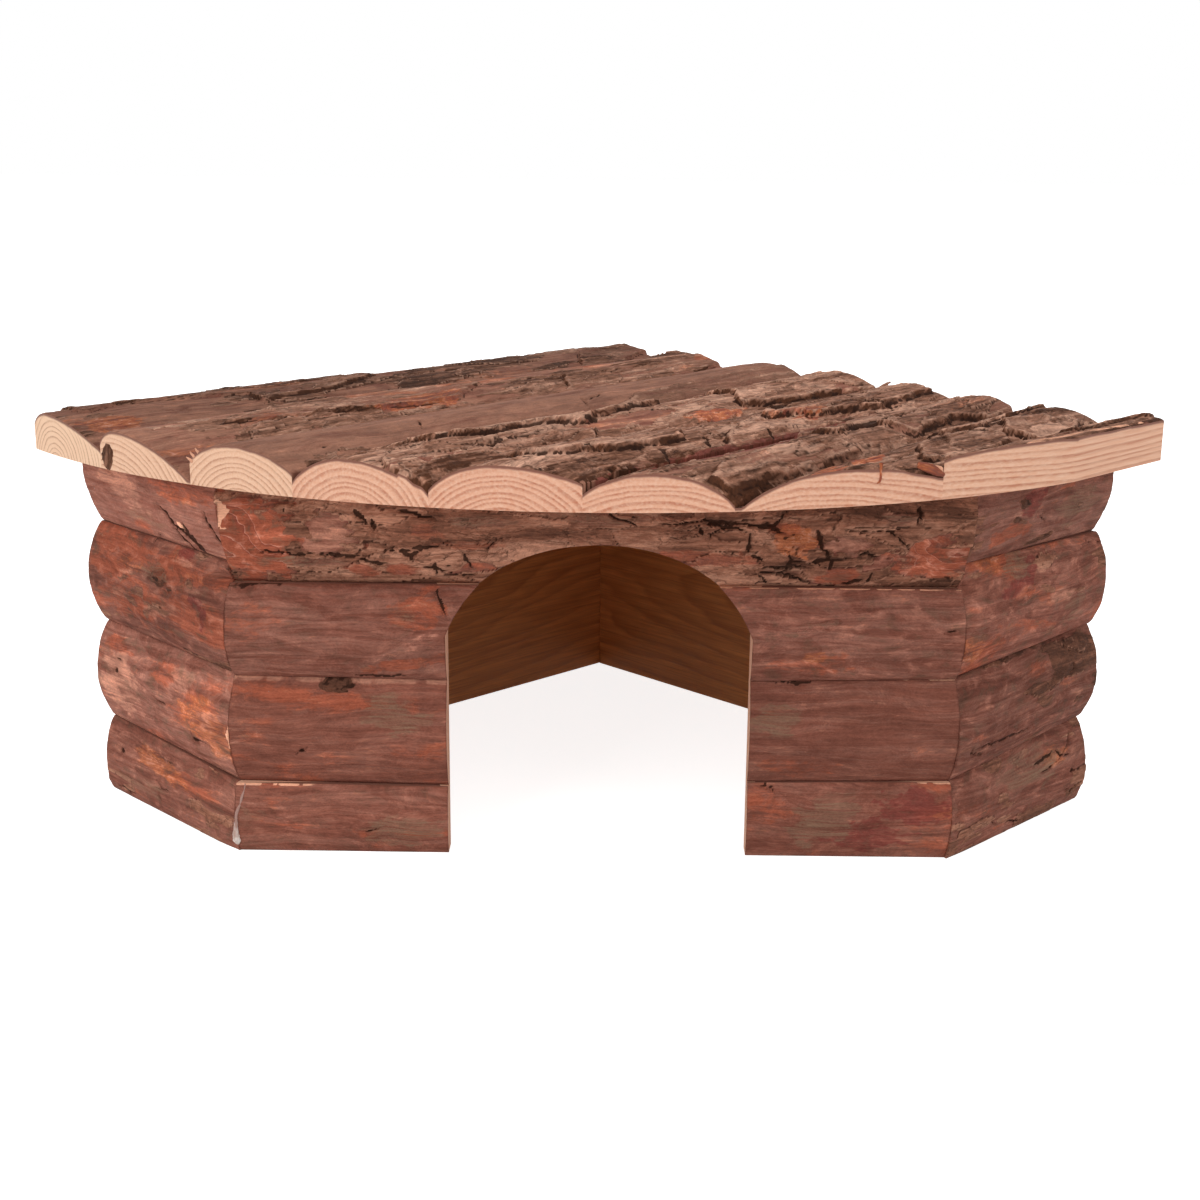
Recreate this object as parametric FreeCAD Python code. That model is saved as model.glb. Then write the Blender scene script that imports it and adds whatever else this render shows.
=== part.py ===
import FreeCAD
import Part
import math
import os
from collections import namedtuple
from FreeCAD import Vector

# Corner house for small pets: half-log slabs on the front and sides, plain boards at the rear,
# and a flat roof of half-log planks.
#
# Millimetres, +Z up. The origin is on the floor under the middle of the roof's outline, and the
# doorway faces -Y. The two rear walls and the two straight roof edges run at 45 degrees to X and
# meet at a right angle at the rear, so that the house fits the corner of a cage.

# ---- Roof ---------------------------------------------------------------------------------------
# The planks are half logs that lie side by side, numbered from the left rear edge. They taper, so
# each has a width at the rear edge and one at the front arc. The bark is highest along the crest,
# which lies at rear_crest_at and front_crest_at of the width; there the plank is rear_crest and
# front_crest thick. Towards the sawn sides the bark falls by left_fall and right_fall, where a side
# is farthest from the crest.
Plank = namedtuple(
    "Plank",
    "rear_width front_width rear_crest_at front_crest_at rear_crest front_crest left_fall right_fall",
)
PLANKS = [
    Plank(48.0, 49.3, 0.22, 0.22, 15.2, 15.0, 5.0, 8.5),
    Plank(38.0, 46.2, 0.20, 0.18, 16.2, 14.3, 4.5, 14.0),
    Plank(42.5, 40.2, 0.46, 0.44, 16.6, 15.6, 8.5, 7.5),
    Plank(42.5, 42.6, 0.40, 0.40, 15.4, 14.4, 8.5, 9.5),
    Plank(36.5, 39.0, 0.45, 0.45, 14.5, 15.0, 8.0, 5.0),
    Plank(29.5, 32.0, 0.42, 0.47, 14.0, 13.0, 5.5, 9.5),
    Plank(43.0, 34.0, 0.40, 0.60, 14.5, 12.5, 9.5, 11.0),
    Plank(17.0, 13.7, 0.85, 0.85, 16.0, 16.5, 4.5, 0.5),
]

# Thick plates of outer bark that stand on a plank's round top by height; a negative height is a
# place where bark has come off. A plate's corners are given as shares of the plank's length, from
# the rear, and of its width, from the left.
Plate = namedtuple("Plate", "plank height corners")
BARK_PLATES = [
    Plate(1, 0.9, [(0.97, -0.1), (0.96, 0.38), (0.89, 0.22), (0.80, 0.30), (0.73, 0.42),
                   (0.72, 0.62), (0.60, 0.55), (0.50, 0.36), (0.52, -0.1)]),
    Plate(1, 1.2, [(0.12, 0.42), (0.17, 0.80), (0.10, 0.84), (0.04, 0.70), (-0.02, 0.55),
                   (-0.02, 0.30)]),
    Plate(2, 0.9, [(0.44, 0.30), (0.52, 0.62), (0.65, 0.58), (0.88, 0.42), (0.80, 0.20),
                   (0.60, 0.10)]),
    Plate(2, 0.8, [(0.10, 0.35), (0.30, 0.45), (0.34, 0.80), (0.12, 0.90), (-0.02, 0.70),
                   (-0.02, 0.40)]),
    Plate(3, 0.8, [(0.30, -0.1), (0.36, 0.22), (0.55, 0.28), (0.80, 0.20), (0.90, -0.1)]),
    Plate(3, 0.8, [(0.05, 0.60), (0.35, 0.75), (0.50, 1.1), (-0.02, 1.1), (-0.02, 0.65)]),
    Plate(4, 1.8, [(0.94, 0.16), (0.90, -0.1), (0.38, -0.1), (0.42, 0.30), (0.55, 0.43),
                   (0.61, 0.52), (0.68, 0.42), (0.80, 0.46), (0.86, 0.30)]),
    Plate(4, 1.5, [(0.98, 0.62), (0.90, 0.72), (0.80, 0.60), (0.70, 0.62), (0.62, 0.72),
                   (0.66, 1.1), (0.92, 1.1), (0.97, 0.90)]),
    Plate(4, 1.6, [(0.31, 0.10), (0.27, 0.42), (0.31, 0.70), (0.24, 0.78), (0.10, 0.80),
                   (-0.02, 0.85), (-0.02, 0.40), (0.05, 0.15), (0.20, -0.1)]),
    Plate(5, 1.6, [(0.93, 0.50), (0.83, 0.60), (0.80, 0.68), (0.66, 0.70), (0.63, 0.30),
                   (0.70, 0.05), (0.86, 0.02), (0.95, 0.20)]),
    Plate(5, 1.4, [(0.86, 0.92), (0.76, 0.84), (0.62, 0.94), (0.58, 0.76), (0.50, 0.58),
                   (0.42, 0.74), (0.34, 0.92), (0.30, 1.1), (0.88, 1.1)]),
    Plate(5, 1.6, [(0.30, 0.10), (0.40, 0.30), (0.44, 0.48), (0.36, 0.68), (0.20, 0.80),
                   (0.03, 0.70), (0.02, 0.20), (0.15, 0.0)]),
    Plate(6, 1.4, [(0.60, 0.35), (0.52, 0.60), (0.46, 0.45), (0.40, 0.52), (0.34, 0.84),
                   (0.20, 0.75), (0.10, 0.90), (-0.02, 0.80), (-0.02, 0.20), (0.12, -0.1),
                   (0.45, -0.1), (0.55, 0.10)]),
    Plate(6, 1.0, [(0.93, 0.78), (0.89, 0.93), (0.66, 0.90), (0.52, 0.86), (0.55, 0.68),
                   (0.70, 0.52), (0.85, 0.60)]),
    Plate(7, 1.3, [(0.70, 0.55), (0.77, 0.80), (0.68, 0.88), (0.50, 0.90), (0.41, 0.80),
                   (0.42, 0.50), (0.58, 0.42)]),
    Plate(7, 1.8, [(0.31, 0.45), (0.19, 0.55), (0.08, 0.80), (0.18, 0.90), (0.32, 0.92),
                   (0.38, 0.66)]),
    Plate(7, 1.4, [(0.50, 0.10), (0.52, 0.32), (0.36, 0.40), (0.28, 0.25), (0.12, 0.32),
                   (-0.02, 0.20), (-0.02, -0.1), (0.42, -0.1)]),
    Plate(7, -2.2, [(0.79, 0.84), (0.75, 0.96), (0.76, 1.1), (1.04, 1.1), (1.04, 0.60),
                    (0.92, 0.74)]),
    Plate(8, 1.0, [(0.56, 0.30), (0.40, 0.66), (0.12, 0.60), (-0.02, 0.75), (-0.02, 0.10),
                   (0.45, 0.10)]),
]

# The front edge is an arc that stands roof_bulge beyond the straight line between the two tips.
# The roof reaches past the rear walls by rear_overhang, past their far ends by side_overhang, and
# past the front wall, at its middle, by front_overhang.
roof_bulge = 101.0
rear_overhang = 5.0
side_overhang = 23.3
front_overhang = 52.2

# ---- Walls --------------------------------------------------------------------------------------
wall_height = 139.0
slab_edge = 6.0
rear_board_thickness = 12.0

# Each seam between two rows of slabs lies at these shares of wall_height, at the wall's start and
# at its end. The side walls start at the front corner; the front wall starts at the left. Slabs
# taper, so seams slope.
Seam = namedtuple("Seam", "start end")
floor_line = Seam(0.0, 0.0)
roof_line = Seam(1.0, 1.0)
left_side_seams = [Seam(0.191, 0.216), Seam(0.486, 0.500), Seam(0.781, 0.784)]
right_side_seams = [Seam(0.212, 0.248), Seam(0.493, 0.522), Seam(0.795, 0.784)]
front_left_seams = [Seam(0.191, 0.169), Seam(0.482, 0.457)]
front_right_seams = [Seam(0.183, 0.212), Seam(0.450, 0.493)]
front_top_seam = Seam(0.727, 0.730)

# A slab's bark is part of a log. The log's radius is that share of wall_height, and its crest
# stands that far out of the seam plane, at crest_at of the slab's height.
Bark = namedtuple("Bark", "radius crest crest_at")
ROWS = ["bottom", "lower", "upper", "top"]
side_bark = [
    Bark(0.259, 5.5, 0.42),
    Bark(0.245, 7.0, 0.50),
    Bark(0.230, 8.0, 0.50),
    Bark(0.317, 7.5, 0.80),
]
front_bark = [
    Bark(0.288, 4.5, 0.50),
    Bark(0.273, 6.0, 0.50),
    Bark(0.245, 6.0, 0.50),
    Bark(0.331, 7.5, 0.72),
]

# ---- Doorway ------------------------------------------------------------------------------------
# The top slab is above_door high over the doorway. The arched head rises door_head_rise above the
# jambs; it is part of an ellipse whose centre lies door_head_drop under their top.
door_offset = 1.6
door_width = 108.5
above_door = 21.6
door_head_rise = 33.9
door_head_drop = 13.5

# ---- Inner frame --------------------------------------------------------------------------------
post_width = 16.0
post_depth = 12.0
batten_width = 16.0
batten_depth = 10.0
rear_batten_inset = 55.0
front_batten_inset = 185.0
batten_clearance = 0.3

# ---- Brads --------------------------------------------------------------------------------------
# Brads of flat wire with a small head, set just under the bark.
brad_length = 22.0
brad_wire_width = 1.3
brad_wire_thickness = 1.1
brad_head_width = 2.0
brad_head_thickness = 0.6
brad_tip = 1.5
brad_sink = 0.3
brad_clearance = 0.05
brad_from_corner = 12.0
rear_brad_heights = [22.0, 70.0, 118.0]

# Where a brad goes through a slab's end: the slab's row, and the brad's place between the slab's
# lower and upper edge.
front_left_brads = [
    ("bottom", 0.45), ("lower", 0.42), ("lower", 0.85), ("upper", 0.50), ("top", 0.55),
]
front_right_brads = [("bottom", 0.50), ("lower", 0.50), ("upper", 0.72), ("top", 0.55)]
side_near_brads = [("bottom", 0.50), ("lower", 0.50), ("upper", 0.45), ("top", 0.50)]
left_far_brads = [("bottom", 0.50), ("lower", 0.55), ("upper", 0.45), ("top", 0.50)]
right_far_brads = [("bottom", 0.40), ("lower", 0.70), ("upper", 0.50), ("top", 0.50)]

# ---- Worked out from the sizes above --------------------------------------------------------------
diagonal = math.sqrt(0.5)
edge_length = sum(plank.rear_width for plank in PLANKS)
roof_tip_x = edge_length * diagonal
roof_depth = roof_tip_x + roof_bulge
roof_apex = Vector(0, roof_depth / 2, 0)
roof_tip_y = roof_apex.y - roof_tip_x

rear_wall_length = edge_length - rear_overhang - side_overhang
rear_corner = Vector(0, roof_apex.y - rear_overhang / diagonal, 0)
side_end_x = rear_wall_length * diagonal
side_end_y = rear_corner.y - side_end_x
front_y = front_overhang - roof_depth / 2
front_half = side_end_x - (side_end_y - front_y)

door_height = wall_height - above_door
door_jamb_height = door_height - door_head_rise

mitre_slope = math.tan(math.radians(22.5))
outer_reach = 40.0
cut_margin = 5.0
side_margin = 1.5
up = Vector(0, 0, 1)


class Wall:
    """An upright wall: it runs from start to end on its outer seam plane, and faces outward."""

    def __init__(self, start, end, outward):
        self.start = start
        self.length = (end - start).Length
        self.along = (end - start).normalize()
        self.outward = outward

    def point(self, along, out, height):
        """The point that far along the wall, that far out of its seam plane, at that height."""
        return self.start + self.along * along + self.outward * out + up * height


def make_walls():
    """The left side wall, the front wall and the right side wall."""
    front_left = Vector(-front_half, front_y, 0)
    front_right = Vector(front_half, front_y, 0)
    left_end = Vector(-side_end_x, side_end_y, 0)
    right_end = Vector(side_end_x, side_end_y, 0)
    left = Wall(front_left, left_end, Vector(-diagonal, -diagonal, 0))
    front = Wall(front_left, front_right, Vector(0, -1, 0))
    right = Wall(front_right, right_end, Vector(diagonal, -diagonal, 0))
    return left, front, right


def prism(points, bottom, top):
    """A solid between two heights over a polygon in plan."""
    ring = [Vector(p.x, p.y, bottom) for p in points]
    face = Part.Face(Part.makePolygon(ring + ring[:1]))
    return face.extrude(up * (top - bottom))


# ---- Roof planks ----------------------------------------------------------------------------------
def roof_point(across, depth, inset):
    """The roof's point that far from the left rear edge and, inset, from the right rear edge."""
    x = (across - inset) * diagonal
    y = roof_apex.y - (across + inset) * diagonal
    return Vector(x, y, wall_height + depth)


def roof_outline():
    """The solid over the roof's plan: two straight rear edges and the arc between the tips."""
    left_tip = Vector(-roof_tip_x, roof_tip_y, 0)
    right_tip = Vector(roof_tip_x, roof_tip_y, 0)
    front = Vector(0, -roof_depth / 2, 0)
    edges = [
        Part.makeLine(left_tip, roof_apex),
        Part.makeLine(roof_apex, right_tip),
        Part.Arc(right_tip, front, left_tip).toShape(),
    ]
    face = Part.Face(Part.Wire(edges))
    face.translate(up * wall_height)
    return face.extrude(up * outer_reach)


def front_inset(across):
    """How far the roof's front arc is from the right rear edge, that far from the left one."""
    sagitta = roof_tip_y + roof_depth / 2
    radius = (roof_tip_x**2 + sagitta**2) / (2 * sagitta)
    centre_below_apex = roof_apex.y + roof_depth / 2 - radius
    middle = centre_below_apex * diagonal
    return middle + math.sqrt(radius**2 - (across - middle) ** 2)


class PlankPlace:
    """Where a plank lies on the roof: its sides run from the rear edge to the front arc."""

    def __init__(self, plank, rear_left, front_left):
        self.plank = plank
        self.sides = []
        for rear, front in (
            (rear_left, front_left),
            (rear_left + plank.rear_width, front_left + plank.front_width),
        ):
            front = min(front, edge_length)
            self.sides.append((rear, (front - rear) / front_inset(front)))
        self.longest = front_inset(front_left)
        self.length = front_inset(min(front_left + plank.front_width / 2, edge_length))

    def point(self, along, across, depth=0.0):
        """The point at that share of the length and that share of the width."""
        inset = along * self.length
        left, right = (rear + slope * inset for rear, slope in self.sides)
        return roof_point(left + (right - left) * across, depth, inset)


def plank_section(plank, start, sideways, upright):
    """A log's closed outline around its crest at start: two arcs that are level at the crest."""
    widths = plank.rear_width, plank.front_width
    crests = plank.rear_crest_at, plank.front_crest_at
    left_run = max(width * crest for width, crest in zip(widths, crests))
    right_run = max(width * (1 - crest) for width, crest in zip(widths, crests))
    base = -plank.rear_crest - plank.front_crest

    def at(run, rise):
        return start + sideways * run + upright * rise

    edges, ends = [], []
    for run, fall, side in ((left_run, plank.left_fall, -1), (right_run, plank.right_fall, 1)):
        radius = (run**2 + fall**2) / (2 * fall)
        half_turn = math.asin(run / radius) / 2
        middle = at(side * radius * math.sin(half_turn), radius * (math.cos(half_turn) - 1))
        end = at(side * run, -fall)
        slope = run / math.sqrt(radius**2 - run**2)
        beyond = at(side * (run + side_margin), -fall - side_margin * slope)
        edges += [Part.Arc(start, middle, end).toShape(), Part.makeLine(end, beyond)]
        ends += [beyond, at(side * (run + side_margin), base)]
    edges += [
        Part.makeLine(ends[0], ends[1]),
        Part.makeLine(ends[1], ends[3]),
        Part.makeLine(ends[3], ends[2]),
    ]
    return Part.Face(Part.Wire(Part.__sortEdges__(edges)))


def plank_solid(place, plates, outline):
    """One plank: its log sawn to the roof's plan, with the thick plates of bark on top."""
    plank = place.plank
    rear = place.point(0, plank.rear_crest_at, plank.rear_crest)
    front = place.point(1, plank.front_crest_at, plank.front_crest)
    forward = (front - rear).normalize()
    sideways = forward.cross(up).normalize()
    if sideways.x < 0:
        sideways = sideways * -1
    upright = forward.cross(sideways).normalize()
    if upright.z < 0:
        upright = upright * -1
    start = rear - forward * (2 * cut_margin)
    section = plank_section(plank, start, sideways, upright)
    log = section.extrude(forward * (place.longest + 5 * cut_margin))

    beyond = cut_margin / place.length
    far = place.longest / place.length + beyond
    corners = [(-beyond, 0), (-beyond, 1), (far, 1), (far, 0)]
    plan = [place.point(along, across) for along, across in corners]
    blank = prism(plan, wall_height, wall_height + outer_reach).common(outline)
    body = log
    for plate in plates:
        points = [place.point(along, across) for along, across in plate.corners]
        patch = prism(points, wall_height - cut_margin, wall_height + outer_reach)
        moved = log.translated(up * plate.height)
        if plate.height > 0:
            body = body.fuse(moved.common(patch))
        else:
            body = body.cut(patch.cut(moved))
    return body.common(blank).removeSplitter()


def roof_planks():
    """Each plank, sawn at the rear edges and along the front arc."""
    outline = roof_outline()
    planks = {}
    rear_left = front_left = 0.0
    for number, plank in enumerate(PLANKS, 1):
        place = PlankPlace(plank, rear_left, front_left)
        plates = [plate for plate in BARK_PLATES if plate.plank == number]
        planks[f"roof_plank_{number}"] = plank_solid(place, plates, outline)
        rear_left += plank.rear_width
        front_left += plank.front_width
    return planks


# ---- Wall slabs -----------------------------------------------------------------------------------
def mitred_plan(wall, mitre_start, mitre_end):
    """The plan that a wall's slabs fill, with its ends mitred or square."""
    start_slope = mitre_slope if mitre_start else 0.0
    end_slope = mitre_slope if mitre_end else 0.0
    return [
        wall.point(-outer_reach * start_slope, outer_reach, 0),
        wall.point(slab_edge * start_slope, -slab_edge, 0),
        wall.point(wall.length - slab_edge * end_slope, -slab_edge, 0),
        wall.point(wall.length + outer_reach * end_slope, outer_reach, 0),
    ]


def seam_height(wall, seam, along):
    """A seam's height that far along its wall."""
    return wall_height * (seam.start + (seam.end - seam.start) * along / wall.length)


def wall_slab(wall, low, high, bark):
    """One slab of a wall, longer than the wall at both ends: a log sawn at its seams and its back."""

    def crest_height(along):
        bottom = seam_height(wall, low, along)
        return bottom + (seam_height(wall, high, along) - bottom) * bark.crest_at

    near, far = -outer_reach, wall.length + outer_reach
    sawn = [
        wall.point(near, -slab_edge, seam_height(wall, low, near)),
        wall.point(far, -slab_edge, seam_height(wall, low, far)),
        wall.point(far, -slab_edge, seam_height(wall, high, far)),
        wall.point(near, -slab_edge, seam_height(wall, high, near)),
    ]
    blank = Part.Face(Part.makePolygon(sawn + sawn[:1])).extrude(wall.outward * outer_reach)
    radius = bark.radius * wall_height
    centre = bark.crest - radius
    log_start = wall.point(near - cut_margin, centre, crest_height(near - cut_margin))
    log_end = wall.point(far + cut_margin, centre, crest_height(far + cut_margin))
    axis = log_end - log_start
    log = Part.makeCylinder(radius, axis.Length, log_start, axis)
    return blank.common(log)


def side_slabs(wall, seams, name):
    """The four slabs of a side wall, mitred to the front wall."""
    plan = prism(mitred_plan(wall, True, False), -cut_margin, wall_height + cut_margin)
    levels = [floor_line] + seams + [roof_line]
    slabs = {}
    for row, low, high, bark in zip(ROWS, levels, levels[1:], side_bark):
        slabs[f"{name}_slab_{row}"] = wall_slab(wall, low, high, bark).common(plan)
    return slabs


def doorway(wall):
    """The cutter for the arched doorway, through the whole wall."""
    centre = wall.length / 2 + door_offset
    half = door_width / 2
    head_base = door_jamb_height - door_head_drop
    head_rise = door_height - head_base
    head_half = half / math.sqrt(1 - (door_head_drop / head_rise) ** 2)

    def at(across, height):
        return wall.point(centre + across, outer_reach, height)

    ellipse = Part.Ellipse(at(head_half, head_base), at(0, head_base + head_rise), at(0, head_base))
    spring = math.asin(door_head_drop / head_rise)
    head = Part.ArcOfEllipse(ellipse, spring, math.pi - spring).toShape()
    corners = [
        at(-half, door_jamb_height),
        at(-half, -cut_margin),
        at(half, -cut_margin),
        at(half, door_jamb_height),
    ]
    sides = [Part.makeLine(a, b) for a, b in zip(corners, corners[1:])]
    face = Part.Face(Part.Wire(Part.__sortEdges__(sides + [head])))
    return face.extrude(wall.outward * (-2 * outer_reach))


def front_slabs(wall):
    """The front wall: a top slab across it, and three short slabs on each side of the doorway."""
    top_of_prism = wall_height + cut_margin
    plan = prism(mitred_plan(wall, True, True), -cut_margin, top_of_prism)
    middle = wall.length / 2 + door_offset
    left_half = [
        wall.point(-outer_reach, -outer_reach, 0),
        wall.point(middle, -outer_reach, 0),
        wall.point(middle, outer_reach, 0),
        wall.point(-outer_reach, outer_reach, 0),
    ]
    left_side = prism(left_half, -cut_margin, top_of_prism)
    opening = doorway(wall)

    slabs = {}
    top = wall_slab(wall, front_top_seam, roof_line, front_bark[-1])
    slabs["front_slab_top"] = top.common(plan).cut(opening)
    for side, seams in (("left", front_left_seams), ("right", front_right_seams)):
        levels = [floor_line] + seams + [front_top_seam]
        for row, low, high, bark in zip(ROWS, levels, levels[1:], front_bark):
            slab = wall_slab(wall, low, high, bark).common(plan)
            half = slab.common(left_side) if side == "left" else slab.cut(left_side)
            slabs[f"front_{side}_slab_{row}"] = half.cut(opening)
    return slabs


# ---- Rear boards, posts and battens -----------------------------------------------------------------
def rear_boards():
    """Two plain boards. The left one runs through to the rear corner, the right one butts on it."""
    boards = {}
    for name, side, shortened in (("left", -1, 0.0), ("right", 1, rear_board_thickness)):
        along = Vector(side * -diagonal, diagonal, 0)
        inward = Vector(side * -diagonal, -diagonal, 0)
        start = Vector(side * side_end_x, side_end_y, 0) + along * slab_edge
        end = rear_corner - along * shortened
        thickness = inward * rear_board_thickness
        plan = [start, end, end + thickness, start + thickness]
        boards[f"rear_{name}_board"] = prism(plan, 0.0, wall_height)
    return boards


def corner_post(front, side, from_end):
    """The post in a front corner, flat against the backs of both walls' slabs."""
    corner_along = slab_edge * mitre_slope
    if from_end:
        corner = front.point(front.length - corner_along, -slab_edge, 0)
        front_way = front.along * -post_width
    else:
        corner = front.point(corner_along, -slab_edge, 0)
        front_way = front.along * post_width
    side_way = side.along * post_width
    front_depth = front.outward * -post_depth
    side_depth = side.outward * -post_depth
    plan = [
        corner,
        corner + front_way,
        corner + front_way + front_depth,
        corner + side_way + side_depth,
        corner + side_way,
    ]
    return prism(plan, 0.0, wall_height)


def roof_batten(inset):
    """A batten under the planks, square to them, between the left rear board and the far wall."""
    low_inset = inset - batten_width / 2
    high_inset = inset + batten_width / 2
    start = rear_overhang + rear_board_thickness + batten_clearance
    inner_side = rear_overhang + rear_wall_length - slab_edge
    inner_front = (roof_apex.y - front_y - slab_edge) / diagonal - high_inset
    end = min(inner_side, inner_front) - batten_clearance
    plan = [
        roof_point(start, 0, low_inset),
        roof_point(end, 0, low_inset),
        roof_point(end, 0, high_inset),
        roof_point(start, 0, high_inset),
    ]
    return prism(plan, wall_height - batten_depth, wall_height)


# ---- Brads ----------------------------------------------------------------------------------------
def brad(head, inward, growth=0.0, lead=0.0):
    """A brad with its head's top at head. growth and lead make it the cutter for its own hole."""
    half_head = brad_head_width / 2 + growth
    half_wire = brad_wire_width / 2 + growth
    thickness = brad_wire_thickness + 2 * growth
    right_side = [
        (half_head, -lead),
        (half_head, brad_head_thickness),
        (half_wire, brad_head_thickness),
        (half_wire, brad_length - brad_tip),
    ]
    left_side = [(-across, depth) for across, depth in reversed(right_side)]
    outline = right_side + [(0.0, brad_length + growth)] + left_side
    sideways = inward.cross(up)
    start = head - sideways * (thickness / 2)
    ring = [start + up * across + inward * depth for across, depth in outline]
    return Part.Face(Part.makePolygon(ring + ring[:1])).extrude(sideways * thickness)


def brad_head_on(slab, wall, along, height):
    """Where a brad's head sits on a slab: just under the bark, that far along the wall."""
    probe = Part.makeLine(
        wall.point(along, -slab_edge / 2, height), wall.point(along, outer_reach, height)
    )
    inside = slab.common(probe)
    out = max((vertex.Point - wall.start).dot(wall.outward) for vertex in inside.Vertexes)
    return wall.point(along, out - brad_sink, height)


def drive(shapes, names, head, inward):
    """Makes one brad and its hole in each named piece. Returns the brad."""
    hole = brad(head, inward, growth=brad_clearance, lead=cut_margin)
    for name in names:
        shapes[name] = shapes[name].cut(hole)
    return brad(head, inward)


def drive_row(shapes, wall, along, places, slab_names, seams, behind):
    """Brads through the slab ends at one upright line of a wall, into the piece behind it."""
    levels = [floor_line] + seams + [roof_line]
    brads = []
    for row, share in places:
        number = ROWS.index(row)
        low = seam_height(wall, levels[number], along)
        high = seam_height(wall, levels[number + 1], along)
        height = low + (high - low) * share
        name = slab_names[number]
        head = brad_head_on(shapes[name], wall, along, height)
        brads.append(drive(shapes, [name, behind], head, wall.outward * -1))
    return brads


def brad_groups(shapes, left, front, right):
    """Every brad, grouped by wall. Each one also cuts its hole in the pieces that it joins."""
    groups = {}
    front_left_names = [f"front_left_slab_{row}" for row in ROWS[:3]] + ["front_slab_top"]
    front_right_names = [f"front_right_slab_{row}" for row in ROWS[:3]] + ["front_slab_top"]
    groups["front_brads"] = drive_row(
        shapes, front, brad_from_corner, front_left_brads, front_left_names,
        front_left_seams + [front_top_seam], "left_post",
    ) + drive_row(
        shapes, front, front.length - brad_from_corner, front_right_brads, front_right_names,
        front_right_seams + [front_top_seam], "right_post",
    )
    far_along = left.length - rear_board_thickness / 2
    sides = (
        ("left", left, left_side_seams, left_far_brads),
        ("right", right, right_side_seams, right_far_brads),
    )
    for side, wall, seams, far_places in sides:
        names = [f"{side}_side_slab_{row}" for row in ROWS]
        groups[f"{side}_side_brads"] = drive_row(
            shapes, wall, brad_from_corner, side_near_brads, names, seams, f"{side}_post"
        ) + drive_row(
            shapes, wall, far_along, far_places, names, seams, f"rear_{side}_board"
        )
    inward = Vector(diagonal, -diagonal, 0)
    into_edge = Vector(diagonal, diagonal, 0) * (-rear_board_thickness / 2)
    groups["rear_brads"] = [
        drive(
            shapes,
            ["rear_left_board", "rear_right_board"],
            rear_corner + into_edge + inward * brad_sink + up * height,
            inward,
        )
        for height in rear_brad_heights
    ]
    return {name: Part.makeCompound(brads) for name, brads in groups.items()}


def build():
    """Every piece of the house by its name."""
    left, front, right = make_walls()
    shapes = roof_planks()
    shapes.update(front_slabs(front))
    shapes.update(side_slabs(left, left_side_seams, "left_side"))
    shapes.update(side_slabs(right, right_side_seams, "right_side"))
    shapes.update(rear_boards())
    shapes["left_post"] = corner_post(front, left, from_end=False)
    shapes["right_post"] = corner_post(front, right, from_end=True)
    shapes["roof_batten_rear"] = roof_batten(rear_batten_inset)
    shapes["roof_batten_front"] = roof_batten(front_batten_inset)
    shapes.update(brad_groups(shapes, left, front, right))
    return shapes


def main():
    os.makedirs("parts", exist_ok=True)
    for name, shape in build().items():
        if not shape.isValid() or shape.Volume <= 0:
            raise ValueError(f"{name} is not a sound solid")
        shape.exportStep(os.path.join("parts", f"{name}.step"))


main()
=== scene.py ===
import math
from collections import namedtuple
from itertools import starmap

import bmesh
import bpy
import numpy as np
from bpy.props import FloatProperty, FloatVectorProperty, PointerProperty
from mathutils import Matrix, Vector


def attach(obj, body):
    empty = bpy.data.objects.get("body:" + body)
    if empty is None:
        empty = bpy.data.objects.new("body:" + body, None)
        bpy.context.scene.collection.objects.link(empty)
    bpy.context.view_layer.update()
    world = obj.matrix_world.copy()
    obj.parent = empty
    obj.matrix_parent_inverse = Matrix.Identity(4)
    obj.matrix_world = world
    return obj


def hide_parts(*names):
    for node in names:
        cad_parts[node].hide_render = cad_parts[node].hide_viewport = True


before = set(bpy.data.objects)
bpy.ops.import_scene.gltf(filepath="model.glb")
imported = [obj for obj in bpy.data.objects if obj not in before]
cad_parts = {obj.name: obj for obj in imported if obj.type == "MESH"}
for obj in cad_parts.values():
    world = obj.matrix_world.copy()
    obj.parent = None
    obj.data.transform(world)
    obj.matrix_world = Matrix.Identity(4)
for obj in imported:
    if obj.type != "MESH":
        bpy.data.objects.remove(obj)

bl_info = {
    "name": "Corner House for Small Pets",
    "version": (1, 0, 0),
    "blender": (4, 5, 0),
    "location": "3D View > Sidebar > Corner House",
    "description": "Bark slabs, roof planks, boards, brads and a small studio around the packed house",
    "category": "Add Mesh",
}

# Sizes in this file are millimetres until a mesh is made. The origin is on the floor under the
# middle of the roof's outline, the doorway faces -Y and the rear walls meet at +Y.
MM = 0.001
DIAGONAL = math.sqrt(0.5)
MITRE = math.tan(math.radians(22.5))

# ---- The house's main sizes, as the solids have them ----
WALL_HEIGHT = 139.0
ROOF_APEX_Y = 155.5
ROOF_TIP_X = 210.0
ROOF_DEPTH = 311.0
ROOF_TIP_Y = ROOF_APEX_Y - ROOF_TIP_X
ROOF_EDGE = 297.0
FRONT_HALF = 128.27
FRONT_Y = -103.3
SIDE_LENGTH = 87.3
SLAB_EDGE = 6.0
REAR_CORNER_Y = 148.43
SIDE_END_X = 190.0
SIDE_END_Y = -41.57
BOARD_THICKNESS = 12.0
DOOR_CENTRE = FRONT_HALF + 1.6
DOOR_HALF = 54.25
JAMB_TOP = 83.5
HEAD_BASE = 70.0
HEAD_RISE = 47.4
HEAD_HALF = DOOR_HALF / math.sqrt(1 - ((JAMB_TOP - HEAD_BASE) / HEAD_RISE) ** 2)
BRAD_FROM_CORNER = 12.0
SLAB_ROWS_OVER = 36.0  # the rows of points on a slab are as many as fit in this height
WALL_RING_PITCH = 2.6
WALL_WOOD_PINK = 0.8
WALL_RIND = 3.0

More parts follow.
